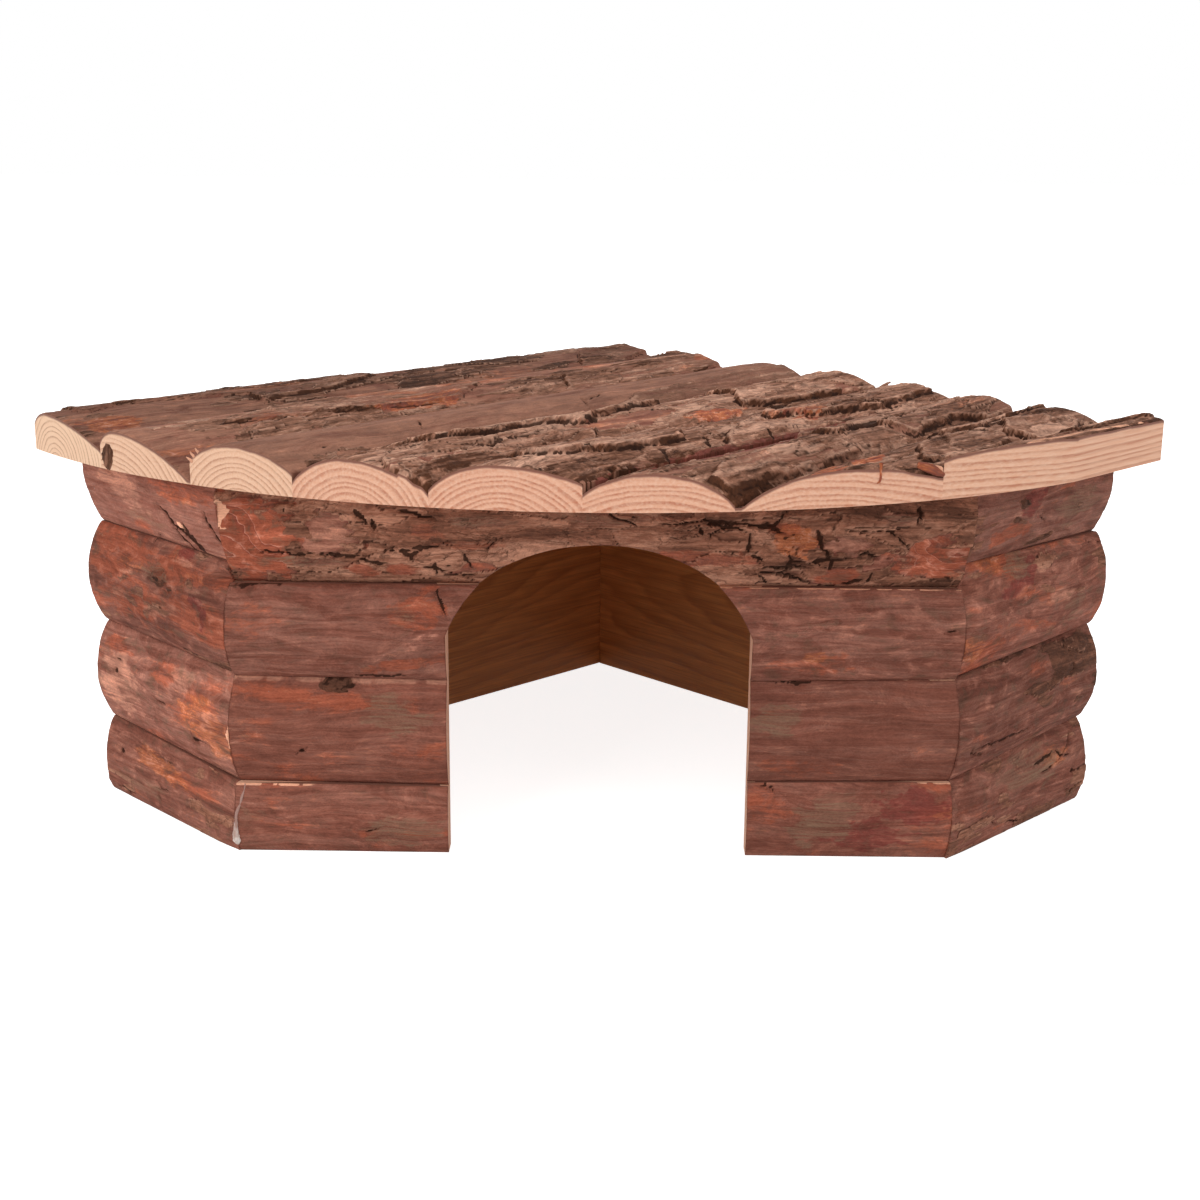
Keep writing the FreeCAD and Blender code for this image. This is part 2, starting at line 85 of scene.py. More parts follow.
# How a piece's bark looks. crust is how much weathered outer bark is left, cracks how far it has
# split into plates, red how much red inner bark shows, lines how clear the shaved contour lines
# are, ridges how ropy it is along the grain, grey how weathered its inner bark has become, and light
# how much lighter or darker than usual the piece is: partly its own tone and partly painted light
# and shade for how brightly its side of the house is lit.
Bark = namedtuple("Bark", "seed crust cracks red lines ridges swell grey light", defaults=(0.0,))

# A mark on a bark surface: its kind, its place and half size along and across the grain, how far
# it shows, and its turn in degrees. Planks and slabs list theirs as plain rows.
# Marks of the kinds sunny and gloomy are painted light and painted shade.
Mark = namedtuple("Mark", "kind along across half_along half_across amount turn", defaults=(1.0, 0.0))

# Annual rings: where the log's middle lies under the piece, the ring spacing, and how pink the
# wood is.
Rings = namedtuple("Rings", "across below pitch pink")

# A plank's sizes are those of its solid: it tapers, its bark is highest along the crest and falls
# towards the sawn sides.
Plank = namedtuple(
    "Plank",
    "rear_width front_width rear_crest_at front_crest_at rear_crest front_crest left_fall right_fall "
    "bark rings marks",
)
PLANKS = [
    Plank(48.0, 49.3, 0.22, 0.22, 15.2, 15.0, 5.0, 8.5,
          Bark(101, 0.20, 0.0, 0.22, 0.1, 0.5, 0.6, 0.7, -0.95), Rings(17.0, 4.0, 2.0, 0.0), [
        ("red", 283, 33, 14, 9, 0.7), ("red", 205, 14, 26, 5, 0.4), ("red", 143, 39, 20, 4, 0.6),
        ("red", 92, 32, 20, 5, 0.4), ("crust", 150, 24, 60, 12, 0.6), ("split", 40, 40, 15, 1.6, 1, 12),
        ("split", 195, 33, 30, 1.1, 0.9, 2), ("split", 120, 20, 24, 1, 0.8, -3)]),
    Plank(38.0, 46.2, 0.20, 0.18, 16.2, 14.3, 4.5, 14.0,
          Bark(202, 0.15, 0.0, 0.30, 0.15, 0.5, 0.8, 0.7), Rings(6.0, 16.0, 1.9, 0.35), [
        ("orange", 132, 10, 30, 3, 0.8), ("orange", 160, 20, 22, 3, 0.7), ("red", 174, 25, 26, 4, 0.8),
        ("red", 3, 22, 8, 6), ("crust", 230, 28, 40, 8, 0.5), ("split", 158, 31, 52, 1.5, 1),
        ("split", 102, 17, 26, 1, 0.8, -4), ("split", 60, 22, 30, 0.9, 0.7, 2)]),
    Plank(42.5, 40.2, 0.46, 0.44, 16.6, 15.6, 8.5, 7.5,
          Bark(303, 0.0, 0.0, 0.05, 0.05, 0.5, 0.6, 0.9, -0.45), Rings(20.0, 11.0, 1.8, 0.4), [
        ("orange", 258, 8, 16, 5, 0.9), ("crust", 255, 38, 20, 4, 0.8),
        ("split", 210, 27.5, 5, 0.9, 0.8, 55), ("split", 120, 27, 9, 0.9, 0.8, 18),
        ("split", 128, 30, 5, 0.8, 0.7, 62)]),
    Plank(42.5, 42.6, 0.40, 0.40, 15.4, 14.4, 8.5, 9.5,
          Bark(404, 0.65, 0.25, 0.30, 0.1, 0.7, 1.0, 0.55, 0.55), Rings(19.0, 8.0, 2.0, 0.9), [
        ("red", 100, 33.5, 18, 4.5), ("bare", 142, 26, 34, 6), ("red", 142, 26, 30, 5, 0.3),
        ("split", 243, 15, 34, 1.5, 1, 1), ("split", 182, 25, 22, 1.6, 1, -8),
        ("split", 157, 21, 5, 1.8, 1, 10), ("split", 150, 14, 50, 1.1, 1, -2),
        ("split", 112, 18, 20, 1.2, 1, 6), ("split", 210, 28, 36, 1.1, 0.9, 3)]),
    Plank(36.5, 39.0, 0.45, 0.45, 14.5, 15.0, 8.0, 5.0,
          Bark(505, 0.75, 0.3, 0.15, 0.1, 0.7, 0.8, 0.7, 0.35), Rings(18.0, 9.0, 1.8, 1.0), [
        ("red", 88, 21, 18, 4.5), ("orange", 91, 27, 13, 3), ("split", 185, 30, 5, 1.2, 1, 60),
        ("split", 179, 35, 4.5, 1.2, 1, 65), ("split", 151, 30, 6, 1.3, 1, 50),
        ("split", 121, 34, 5, 1.2, 1, 60), ("split", 146, 25, 8, 1.2, 1, 30),
        ("split", 200, 8, 40, 1.5, 1, 1), ("split", 120, 20, 30, 1.1, 1, -3),
        ("split", 90, 12, 14, 1.8, 1, 6), ("raw", 211, 9, 12, 2.2, 0.5), ("bare", 110, 38.5, 150, 4),
        ("blush", 110, 38.5, 150, 4, 0.75)]),
    Plank(29.5, 32.0, 0.42, 0.47, 14.0, 13.0, 5.5, 9.5,
          Bark(606, 0.50, 0.15, 0.20, 0.1, 0.7, 1.0, 0.7), Rings(15.0, 20.0, 1.9, 0.95), [
        ("bare", 150, 8, 62, 5), ("blush", 150, 7, 60, 5, 0.8), ("split", 76, 14, 34, 2, 1, 4),
        ("split", 210, 20, 30, 1.2, 1, -1), ("red", 20, 14, 20, 7, 0.4), ("sunny", 188, 26, 22, 8)]),
    Plank(43.0, 34.0, 0.40, 0.60, 14.5, 12.5, 9.5, 11.0,
          Bark(707, 0.75, 0.35, 0.38, 0.1, 0.7, 1.2, 0.7), Rings(18.0, 26.0, 2.0, 0.9), [
        ("red", 168, 20, 18, 4), ("dark", 84, 6, 12, 5), ("red", 138, 19, 11, 4.5),
        ("orange", 136, 21, 7, 2.5, 0.7), ("red", 150, 10, 9, 6), ("split", 122, 24, 16, 1, 1, 12),
        ("split", 92, 20, 10, 1, 1, 50), ("split", 132, 32, 14, 0.9, 1, -8),
        ("split", 110, 8, 40, 1.6, 1, -2), ("split", 60, 16, 24, 1.3, 1, 5),
        ("split", 170, 26, 20, 1.3, 1, 2)]),
    Plank(17.0, 13.7, 0.85, 0.85, 16.0, 16.5, 4.5, 0.5,
          Bark(808, 0.45, 0.2, 0.20, 0.1, 0.7, 0.9, 0.7), Rings(2.0, 46.0, 2.1, 0.75), [
        ("raw", 55, 12.5, 36, 1.4, 0.7, -3), ("split", 60, 8, 30, 1.2, 1, -3)]),
]

# Thick plates of outer bark, as the solids have them: the plank's number, the plate's height, and
# its corners as shares of the plank's length from the rear and of its width from the left. A
# negative height is a place where bark has come off.
Plate = namedtuple("Plate", "plank height corners")
BARK_PLATES = [
    Plate(1, 0.9, [(0.97, -0.1), (0.96, 0.38), (0.89, 0.22), (0.80, 0.30), (0.73, 0.42),
                   (0.72, 0.62), (0.60, 0.55), (0.50, 0.36), (0.52, -0.1)]),
    Plate(1, 1.2, [(0.12, 0.42), (0.17, 0.80), (0.10, 0.84), (0.04, 0.70), (-0.02, 0.55),
                   (-0.02, 0.30)]),
    Plate(2, 0.9, [(0.44, 0.30), (0.52, 0.62), (0.65, 0.58), (0.88, 0.42), (0.80, 0.20),
                   (0.60, 0.10)]),
    Plate(2, 0.8, [(0.10, 0.35), (0.30, 0.45), (0.34, 0.80), (0.12, 0.90), (-0.02, 0.70),
                   (-0.02, 0.40)]),
    Plate(3, 0.8, [(0.30, -0.1), (0.36, 0.22), (0.55, 0.28), (0.80, 0.20), (0.90, -0.1)]),
    Plate(3, 0.8, [(0.05, 0.60), (0.35, 0.75), (0.50, 1.1), (-0.02, 1.1), (-0.02, 0.65)]),
    Plate(4, 1.8, [(0.94, 0.16), (0.90, -0.1), (0.38, -0.1), (0.42, 0.30), (0.55, 0.43),
                   (0.61, 0.52), (0.68, 0.42), (0.80, 0.46), (0.86, 0.30)]),
    Plate(4, 1.5, [(0.98, 0.62), (0.90, 0.72), (0.80, 0.60), (0.70, 0.62), (0.62, 0.72),
                   (0.66, 1.1), (0.92, 1.1), (0.97, 0.90)]),
    Plate(4, 1.6, [(0.31, 0.10), (0.27, 0.42), (0.31, 0.70), (0.24, 0.78), (0.10, 0.80),
                   (-0.02, 0.85), (-0.02, 0.40), (0.05, 0.15), (0.20, -0.1)]),
    Plate(5, 1.6, [(0.93, 0.50), (0.83, 0.60), (0.80, 0.68), (0.66, 0.70), (0.63, 0.30),
                   (0.70, 0.05), (0.86, 0.02), (0.95, 0.20)]),
    Plate(5, 1.4, [(0.86, 0.92), (0.76, 0.84), (0.62, 0.94), (0.58, 0.76), (0.50, 0.58),
                   (0.42, 0.74), (0.34, 0.92), (0.30, 1.1), (0.88, 1.1)]),
    Plate(5, 1.6, [(0.30, 0.10), (0.40, 0.30), (0.44, 0.48), (0.36, 0.68), (0.20, 0.80),
                   (0.03, 0.70), (0.02, 0.20), (0.15, 0.0)]),
    Plate(6, 1.4, [(0.60, 0.35), (0.52, 0.60), (0.46, 0.45), (0.40, 0.52), (0.34, 0.84),
                   (0.20, 0.75), (0.10, 0.90), (-0.02, 0.80), (-0.02, 0.20), (0.12, -0.1),
                   (0.45, -0.1), (0.55, 0.10)]),
    Plate(6, 1.0, [(0.93, 0.78), (0.89, 0.93), (0.66, 0.90), (0.52, 0.86), (0.55, 0.68),
                   (0.70, 0.52), (0.85, 0.60)]),
    Plate(7, 1.3, [(0.70, 0.55), (0.77, 0.80), (0.68, 0.88), (0.50, 0.90), (0.41, 0.80),
                   (0.42, 0.50), (0.58, 0.42)]),
    Plate(7, 1.8, [(0.31, 0.45), (0.19, 0.55), (0.08, 0.80), (0.18, 0.90), (0.32, 0.92),
                   (0.38, 0.66)]),
    Plate(7, 1.4, [(0.50, 0.10), (0.52, 0.32), (0.36, 0.40), (0.28, 0.25), (0.12, 0.32),
                   (-0.02, 0.20), (-0.02, -0.1), (0.42, -0.1)]),
    Plate(7, -1.8, [(0.80, 0.88), (0.76, 0.97), (0.77, 1.1), (1.04, 1.1), (1.04, 0.76),
                    (0.92, 0.80)]),
    Plate(8, 1.0, [(0.56, 0.30), (0.40, 0.66), (0.12, 0.60), (-0.02, 0.75), (-0.02, 0.10),
                   (0.45, 0.10)]),
]

Seam = namedtuple("Seam", "start end")
FLOOR = Seam(0.0, 0.0)
ROOF = Seam(WALL_HEIGHT, WALL_HEIGHT)
LEFT_SEAMS = [FLOOR, Seam(26.5, 30.0), Seam(67.5, 69.5), Seam(108.5, 109.0), ROOF]
RIGHT_SEAMS = [FLOOR, Seam(29.5, 34.5), Seam(68.5, 72.5), Seam(110.5, 109.0), ROOF]
FRONT_TOP = Seam(101.0, 101.5)
FRONT_LEFT_SEAMS = [FLOOR, Seam(26.5, 23.5), Seam(67.0, 63.5), FRONT_TOP, ROOF]
FRONT_RIGHT_SEAMS = [FLOOR, Seam(25.5, 29.5), Seam(62.5, 68.5), FRONT_TOP, ROOF]
SEAMS = {
    ("front", "whole"): FRONT_LEFT_SEAMS, ("front", "left"): FRONT_LEFT_SEAMS,
    ("front", "right"): FRONT_RIGHT_SEAMS,
    ("left", "whole"): LEFT_SEAMS, ("right", "whole"): RIGHT_SEAMS,
}

# The log that a slab was sawn from, as the solids have it: radius, how far the crest stands out
# of the seam plane, and where in the slab's height.
Log = namedtuple("Log", "radius crest crest_at")
SIDE_LOGS = [Log(36.0, 5.5, 0.42), Log(34.0, 7.0, 0.5), Log(32.0, 8.0, 0.5), Log(44.0, 7.5, 0.8)]
FRONT_LOGS = [Log(40.0, 4.5, 0.5), Log(38.0, 6.0, 0.5), Log(34.0, 6.0, 0.5), Log(46.0, 7.5, 0.72)]

ROWS = ["bottom", "lower", "upper", "top"]

# A slab: its node, its wall and which part of it, its row, its bark and its marks, whose places are
# along the wall and up from the floor.
Slab = namedtuple("Slab", "node wall part row bark marks")
SLABS = [
    Slab("front_slab_top", "front", "whole", 3,
         Bark(11, 0.62, 0.35, 0.35, 0.35, 0.4, 0.8, 0.15, 0.2), [
        ("shaved", 8, 118, 22, 22, 1.2), ("raw", -1, 127, 5.5, 5), ("gloomy", 222, 120, 44, 26, 0.8),
        ("sunny", 62, 122, 34, 16, 0.7), ("bare", 37, 120, 10, 9), ("pale", 37, 120, 11, 10, 0.58),
        ("split", 49, 127, 5, 1.5, 1, -50), ("split", 53, 124, 3, 1.2, 1, -80),
        ("split", 68, 128, 9, 1, 1, -12), ("split", 22, 112.8, 14, 0.9, 1, -3),
        ("split", 40, 112.2, 10, 1.2, 1, -4), ("split", 51, 109.8, 7, 1, 1, -8),
        ("split", 67, 115.4, 10, 0.9, 1, 9), ("split", 84, 110.5, 5, 0.9, 1, -75),
        ("split", 72.6, 107.4, 3.4, 0.9, 1, 90), ("lichen", 30, 109.6, 18, 2.6, 0.9),
        ("red", 46, 106.4, 8, 3.5, 0.65), ("red", 61, 106.8, 7, 3.5, 0.65), ("red", 71, 122, 7, 4, 0.5),
        ("blush", 47, 124, 5, 4, 0.58), ("red", 85, 117, 14, 2, 0.5), ("lichen", 90, 126, 14, 4, 0.8),
        ("lichen", 130, 128, 24, 5, 0.6), ("red", 165, 112, 24, 4, 0.6),
        ("split", 164, 123.4, 3.2, 0.9, 1, -65), ("split", 173, 124.4, 10, 0.9, 1, -12),
        ("split", 180.8, 118.6, 5.5, 0.9, 1, -88), ("split", 184, 113, 4, 0.9, 1, -25),
        ("plate", 197, 119.5, 10, 7), ("dark", 196, 121, 4.2, 1.7), ("red", 193, 124, 8, 2.5, 0.65),
        ("split", 205, 120, 5.5, 1.4, 1, -72), ("split", 208, 114.6, 3.2, 1, 1, -50),
        ("bare", 214, 117.5, 9, 4.6), ("pale", 214, 117.5, 9, 4.6, 0.5),
        ("lichen", 194, 109.2, 13, 3.5, 0.8), ("split", 194, 109.5, 11, 0.9, 1, 3),
        ("split", 210, 110.4, 3.4, 0.9, 1, 85), ("split", 237.7, 130, 3.6, 1.1, 1, -80),
        ("lichen", 231, 128, 9, 3.5, 0.8), ("shaved", 246, 113, 18, 9, 1.2),
        ("red", 214, 105.5, 10, 4, 0.58), ("split", 219, 103.6, 5, 1.2, 1, 10),
        # The dark mark at the right end is painted shade: the dark wedge at the slab's lower edge by the
        # right corner.
        ("split", 225, 105.5, 3, 0.9, 1, 80), ("dark", 249, 104.2, 9, 2.2, 0.7)]),
    Slab("front_left_slab_upper", "front", "left", 2,
         Bark(12, 0.0, 0.0, 0.10, 0.20, 0.5, 0.3, 0.35), [
        ("red", 66, 92, 12, 8, 0.65), ("lichen", 62, 90, 7, 5, 0.6), ("flow", 62, 79, 20, 3, 1, 28),
        # The dark and split marks at the left end's top are painted shade for the wedge of shadow under the
        # top slab, with a shallow groove under the split.
        ("red", 8, 88, 12, 9, 0.35), ("dark", 6, 101, 9, 2.6, 0.45), ("split", 13, 101.4, 17, 1.2, 0.8, 4),
        ("red", 60, 72, 20, 3, 0.6, 12), ("split", 74, 96, 8, 0.9, 0.8, -70),
        ("split", 52, 67.5, 14, 0.9, 0.8)]),
    Slab("front_left_slab_lower", "front", "left", 1,
         Bark(13, 0.0, 0.0, 0.42, 0.10, 0.5, 0.3, 0.1), [
        ("dark", 35, 64.2, 9, 3.4), ("lichen", 57, 54, 16, 9, 1, -14), ("flow", 6, 45, 14, 1.2, 0.8, 20),
        ("red", 33, 58, 20, 4, 0.6)]),
    Slab("front_left_slab_bottom", "front", "left", 0,
         Bark(14, 0.0, 0.0, 0.38, 0.22, 0.5, 0.3, 0.2, 0.5), [
        ("lichen", 60, 9, 18, 8, 1, 4), ("flow", 10, 16, 16, 1.2, 0.9, -22), ("lichen", 4, 13, 7, 8, 0.5)]),
    Slab("front_right_slab_upper", "front", "right", 2,
         Bark(15, 0.0, 0.0, 0.12, 0.28, 0.5, 0.3, 0.35, -0.1), [
        ("flow", 204, 88, 16, 2.4, 1, 16), ("red", 205, 74, 20, 4, 0.5), ("flow", 215, 72, 26, 1.6, 0.7, -6),
        ("orange", 206, 77, 5, 2.5, 0.65), ("flow", 235, 96, 16, 2, 0.7),
        ("flow", 190, 81, 12, 1.4, 0.8, -12)]),
    Slab("front_right_slab_lower", "front", "right", 1,
         Bark(16, 0.0, 0.0, 0.22, 0.05, 0.5, 0.25, 0.15, -0.5), [
        ("lichen", 193, 54, 12, 9, 0.9), ("red", 200, 35, 16, 5, 0.4), ("split", 199, 66.6, 11, 0.9, 0.9)]),
    Slab("front_right_slab_bottom", "front", "right", 0,
         Bark(17, 0.0, 0.0, 0.38, 0.20, 0.5, 0.3, 0.2), [
        ("blush", 242, 21, 15, 8, 0.72), ("lichen", 212, 15, 16, 12, 1, 24), ("red", 190, 22, 9, 8, 0.5),
        ("blush", 226, 9, 18, 7, 0.6)]),
    Slab("left_side_slab_top", "left", "whole", 3, Bark(21, 0.0, 0.0, 0.26, 0.15, 0.5, 0.9, 0.45, 1.7), [
        ("red", 22, 132, 24, 6, 0.58), ("orange", 20, 130, 14, 3, 0.3), ("split", 27, 117, 17, 1.4, 1, 34),
        ("split", 20, 114, 9, 2.6, 1, 52), ("split", 24, 110, 13, 1.3, 1, 42),
        ("split", 5, 121, 9, 1.2, 1, 55), ("pale", 62, 128, 20, 7, 0.6, 20), ("lichen", 50, 117, 20, 5, 0.5),
        ("raw", 25, 118, 2.2, 1, 0.9, 40)]),
    Slab("left_side_slab_upper", "left", "whole", 2, Bark(22, 0.10, 0.05, 0.62, 0.35, 0.5, 0.9, 0.2, -0.3), [
        ("dark", 40, 96, 6, 4.5), ("lichen", 42, 98, 10, 6, 0.7), ("gloomy", 40, 96, 10, 6, 0.9),
        ("dark", 32, 93.5, 3, 1.4), ("orange", 60, 98, 12, 3, 0.5), ("pale", 61, 95, 6, 1.4, 0.58),
        ("pale", 26, 104, 7, 1.5, 0.58), ("orange", 18, 101, 10, 2.2, 0.5), ("pale", 66, 86, 7, 2.4, 0.6),
        ("pale", 37, 85, 13, 3.5, 0.6, -14), ("pale", 18, 96, 8, 1.6, 0.5), ("lichen", 12, 95, 7, 5, 0.4),
        ("blush", 15, 92, 5, 3, 0.72), ("blush", 26, 107, 5, 3, 0.72), ("red", 66, 104, 24, 6, 0.72),
        ("crust", 62, 90, 8, 5), ("blush", 11, 88, 2, 6, 0.72, 20), ("lichen", 10, 103, 8, 4, 0.3),
        ("pit", 34, 75, 1.6, 1.4, 0.8)]),
    Slab("left_side_slab_lower", "left", "whole", 1, Bark(23, 0.0, 0.08, 0.36, 0.35, 0.5, 0.9, 0.4, 1.2), [
        ("pale", 71, 48, 14, 13, 0.72), ("orange", 12, 45, 22, 11, 0.72, 20), ("raw", -1, 45, 2.6, 5.5),
        ("pit", 74, 53, 1.6, 1.3, 0.8), ("red", 76, 62, 12, 3.5, 0.72), ("red", 42, 59, 12, 5, 0.6),
        ("pale", 30, 60, 9, 4, 0.58), ("flow", 45, 50, 16, 2, 0.9, 20)]),
    Slab("left_side_slab_bottom", "left", "whole", 0, Bark(24, 0.05, 0.10, 0.34, 0.30, 0.5, 0.8, 0.2, 0.5), [
        ("orange", 50, 20, 22, 4.5, 0.72, 8), ("dark", 52, 23, 16, 1.6, 0.6), ("pit", 76, 19, 1.8, 1.4, 0.8),
        ("lichen", 60, 9, 26, 6, 0.5)]),
    Slab("right_side_slab_top", "right", "whole", 3, Bark(31, 0.08, 0.05, 0.30, 0.25, 0.5, 0.9, 0.55, -0.3), [
        ("blush", 36, 129, 9, 6, 0.72), ("dark", 30, 129, 5, 3, 0.8), ("dark", 26, 124, 3.5, 1.6),
        ("pale", 27, 126, 4, 1.2, 0.58), ("red", 24, 119, 14, 5, 0.65), ("dark", 47, 113, 10, 2.4, 0.7),
        ("lichen", 66, 124, 18, 10, 0.7)]),
    Slab("right_side_slab_upper", "right", "whole", 2, Bark(32, 0.05, 0.0, 0.45, 0.35, 0.5, 0.9, 0.2), [
        ("lichen", 31, 106, 9, 6), ("orange", 16, 109, 9, 3.5, 0.58), ("blush", 30, 99, 16, 3, 0.72, 14),
        ("blush", 40, 104, 8, 3.5, 0.58), ("pale", 46, 103, 3.5, 2.2, 0.72), ("flow", 40, 95, 26, 2, 1, 16),
        ("pale", 59, 91, 10, 3, 0.58), ("lichen", 68, 84, 12, 6, 0.7), ("red", 40, 83, 22, 3, 0.5, -8),
        ("orange", 4, 80, 9, 6, 0.65)]),
    Slab("right_side_slab_lower", "right", "whole", 1,
         Bark(33, 0.10, 0.05, 0.18, 0.35, 0.5, 0.8, 0.25, -0.7), [
        ("dark", 30, 70, 22, 2.4, 0.6), ("flow", 60, 56, 14, 2, 1, 30), ("split", 30, 40, 26, 1.2, 0.7),
        ("red", 48, 63, 10, 4, 0.5)]),
    Slab("right_side_slab_bottom", "right", "whole", 0, Bark(34, 0.20, 0.20, 0.25, 0.3, 0.6, 0.8, 0.3), [
        ("lichen", 50, 22, 28, 9, 0.9), ("orange", 66, 24, 12, 4, 0.6), ("split", 60, 24, 10, 1.2, 0.8, 10),
        ("pit", 78, 15, 1.7, 1.4, 0.9)]),
]

# Where a slab's sawn upper edge shows pale under the next slab: the mask that it takes, how far it
# reaches from the corner, and how wide it is.
SAWN_EDGES = {
    "front_left_slab_bottom": ("raw", 26.0, 1.1), "front_left_slab_lower": ("pale", 200.0, 1.9),
    "front_right_slab_bottom": ("raw", 12.0, 0.8), "front_right_slab_lower": ("raw", 20.0, 0.9),
    "front_right_slab_upper": ("raw", 200.0, 0.6),
}

# Lines of brads up each wall: a line's place along the wall, the part of the wall, and its brads,
# each the row of its slab and its place between the slab's lower and upper edge.
SIDE_NEAR_BRADS = (BRAD_FROM_CORNER, "side", [(0, 0.50), (1, 0.50), (2, 0.45), (3, 0.50)])
SIDE_FAR_LINE = SIDE_LENGTH - BOARD_THICKNESS / 2
BRAD_LINES = {
    "front": [
        (BRAD_FROM_CORNER, "left", [(0, 0.45), (1, 0.42), (1, 0.85), (2, 0.50), (3, 0.55)]),
        (2 * FRONT_HALF - BRAD_FROM_CORNER, "right", [(0, 0.50), (1, 0.50), (2, 0.72), (3, 0.55)]),
    ],
    "left": [
        SIDE_NEAR_BRADS, (SIDE_FAR_LINE, "side", [(0, 0.50), (1, 0.55), (2, 0.45), (3, 0.50)]),
    ],
    "right": [
        SIDE_NEAR_BRADS, (SIDE_FAR_LINE, "side", [(0, 0.40), (1, 0.70), (2, 0.50), (3, 0.50)]),
    ],
}
REAR_BRAD_HEIGHTS = [22.0, 70.0, 118.0]

# A brad's domed head: shares of its half width, and the depths under its top in metres. The neck
# is where the wire starts, and the point is what is left of the length at its taper's start.
BRAD_HEAD = ((0.6, 0.00004), (0.95, 0.00018), (1.0, 0.00035), (0.9, 0.00055))
BRAD_NECK = 0.0007
BRAD_POINT = 0.0018
BRAD_FLATNESS = 0.72
BRAD_SUNK = 0.15  # how far a head's top lies under the bark, in mm
ROUND_SIDES = 12

# A loose bit of bark, a splinter or a fibre: the way its flat side faces, its seed, its masks, and
# stations along it, each a point, half the width and half the thickness there.
Scrap = namedtuple("Scrap", "name outward seed masks stations")
ROOF_BARK = {"crust": 0.7, "grey": 0.7}
FRESH_WOOD = {"raw": 1.0}
SCRAPS = [
    Scrap("roof_rear_chip", (-0.65, 0.0, 0.75), 3, ROOF_BARK, [
        (112.9, 22.9, 150.9, 1.8, 0.9), (115.8, 22.6, 153.4, 2.0, 0.9),
        (118.0, 22.3, 155.2, 1.2, 0.6), (119.6, 22.0, 156.2, 0.5, 0.3)]),
    Scrap("roof_plank_2_ingrown_bark", (-0.641, -0.767, 0.0), 5,
          {"crust": 0.9, "grey": 0.6, "tone": -0.25}, [
        (-172.0, -93.0, 148.2, 1.2, 0.5), (-172.1, -92.9, 146.4, 2.9, 0.8),
        (-172.4, -92.7, 143.6, 3.5, 0.9), (-173.0, -92.2, 141.0, 3.0, 0.7),
        (-173.8, -91.6, 139.8, 1.5, 0.4)]),
    Scrap("roof_plank_7_fibre", (0.348, -0.938, 0.0), 7,
          {"red": 1.0, "crust": 0.0}, [
        (93.7, -138.5, 153.0, 0.6, 0.5), (93.6, -138.7, 150.6, 0.42, 0.4),
        (93.7, -138.8, 148.0, 0.36, 0.35), (93.4, -138.9, 146.8, 0.40, 0.35),
        (92.5, -139.2, 146.3, 0.22, 0.2)]),
    Scrap("roof_plank_7_splinter", (0.41, -0.91, 0.0), 9,
          {"crust": 0.2, "red": 0.7}, [
        (106.6, -133.3, 151.4, 1.0, 0.8), (110.4, -131.7, 150.2, 1.7, 1.1),
        (113.8, -130.2, 148.6, 1.6, 0.9), (116.0, -129.1, 147.2, 0.7, 0.5)]),
    Scrap("roof_plank_7_splinter_tip", (0.41, -0.91, 0.0), 10, FRESH_WOOD, [
        (112.8, -130.9, 150.8, 0.3, 0.3), (114.6, -130.1, 149.6, 0.9, 0.5),
        (115.4, -129.6, 148.4, 0.4, 0.3)]),
    Scrap("roof_plank_3_splinter_1", (-0.5, -0.86, 0.0), 11, FRESH_WOOD, [
        (-136.6, -117.9, 147.0, 0.7, 0.5), (-138.0, -117.5, 147.9, 0.45, 0.4),
        (-138.9, -117.5, 148.5, 0.15, 0.15)]),
    Scrap("roof_plank_3_splinter_2", (-0.5, -0.86, 0.0), 12, FRESH_WOOD, [
        (-135.8, -118.4, 148.6, 0.7, 0.5), (-136.9, -118.1, 149.7, 0.4, 0.35),
        (-137.4, -118.1, 150.5, 0.15, 0.15)]),
    Scrap("roof_plank_3_splinter_3", (-0.5, -0.86, 0.0), 13, FRESH_WOOD, [
        (-134.2, -119.1, 150.2, 0.6, 0.5), (-135.1, -118.9, 151.2, 0.35, 0.3),
        (-135.4, -118.9, 151.9, 0.15, 0.15)]),
]

# The run of dried glue at the front left corner: how far along the front wall, the height, and
# half the width and half the thickness as shares of the glue's width.
GLUE_RUN = [(2.0, 26.2, 0.2, 0.1), (1.0, 22.0, 0.35, 0.15), (0.3, 15.0, 0.45, 0.2),
            (-0.1, 9.5, 0.55, 0.35), (-0.4, 6.2, 0.9, 0.6), (-0.4, 4.0, 0.95, 0.65),
            (-0.3, 2.8, 0.4, 0.3)]


def linear(code):
    """The linear colour of a six-digit sRGB code."""
    parts = [int(code[i:i + 2], 16) / 255 for i in (0, 2, 4)]
    return tuple(c / 12.92 if c <= 0.04045 else ((c + 0.055) / 1.055) ** 2.4 for c in parts)


def colour(name, description, code):
    """A colour that the user can change, with its sRGB code as the default."""
    return FloatVectorProperty(
        name=name, description=description, subtype="COLOR", size=3, min=0.0, max=1.0,
        default=linear(code),
    )


def length(name, description, default, low, high):
    """A length in metres that the user can change."""
    return FloatProperty(
        name=name, description=description, default=default, min=low, max=high,
        unit="LENGTH", subtype="DISTANCE", precision=5,
    )


def power(name, description, default):
    """A lamp's power that the user can change."""
    return FloatProperty(name=name, description=description, default=default, min=0.0, unit="POWER")


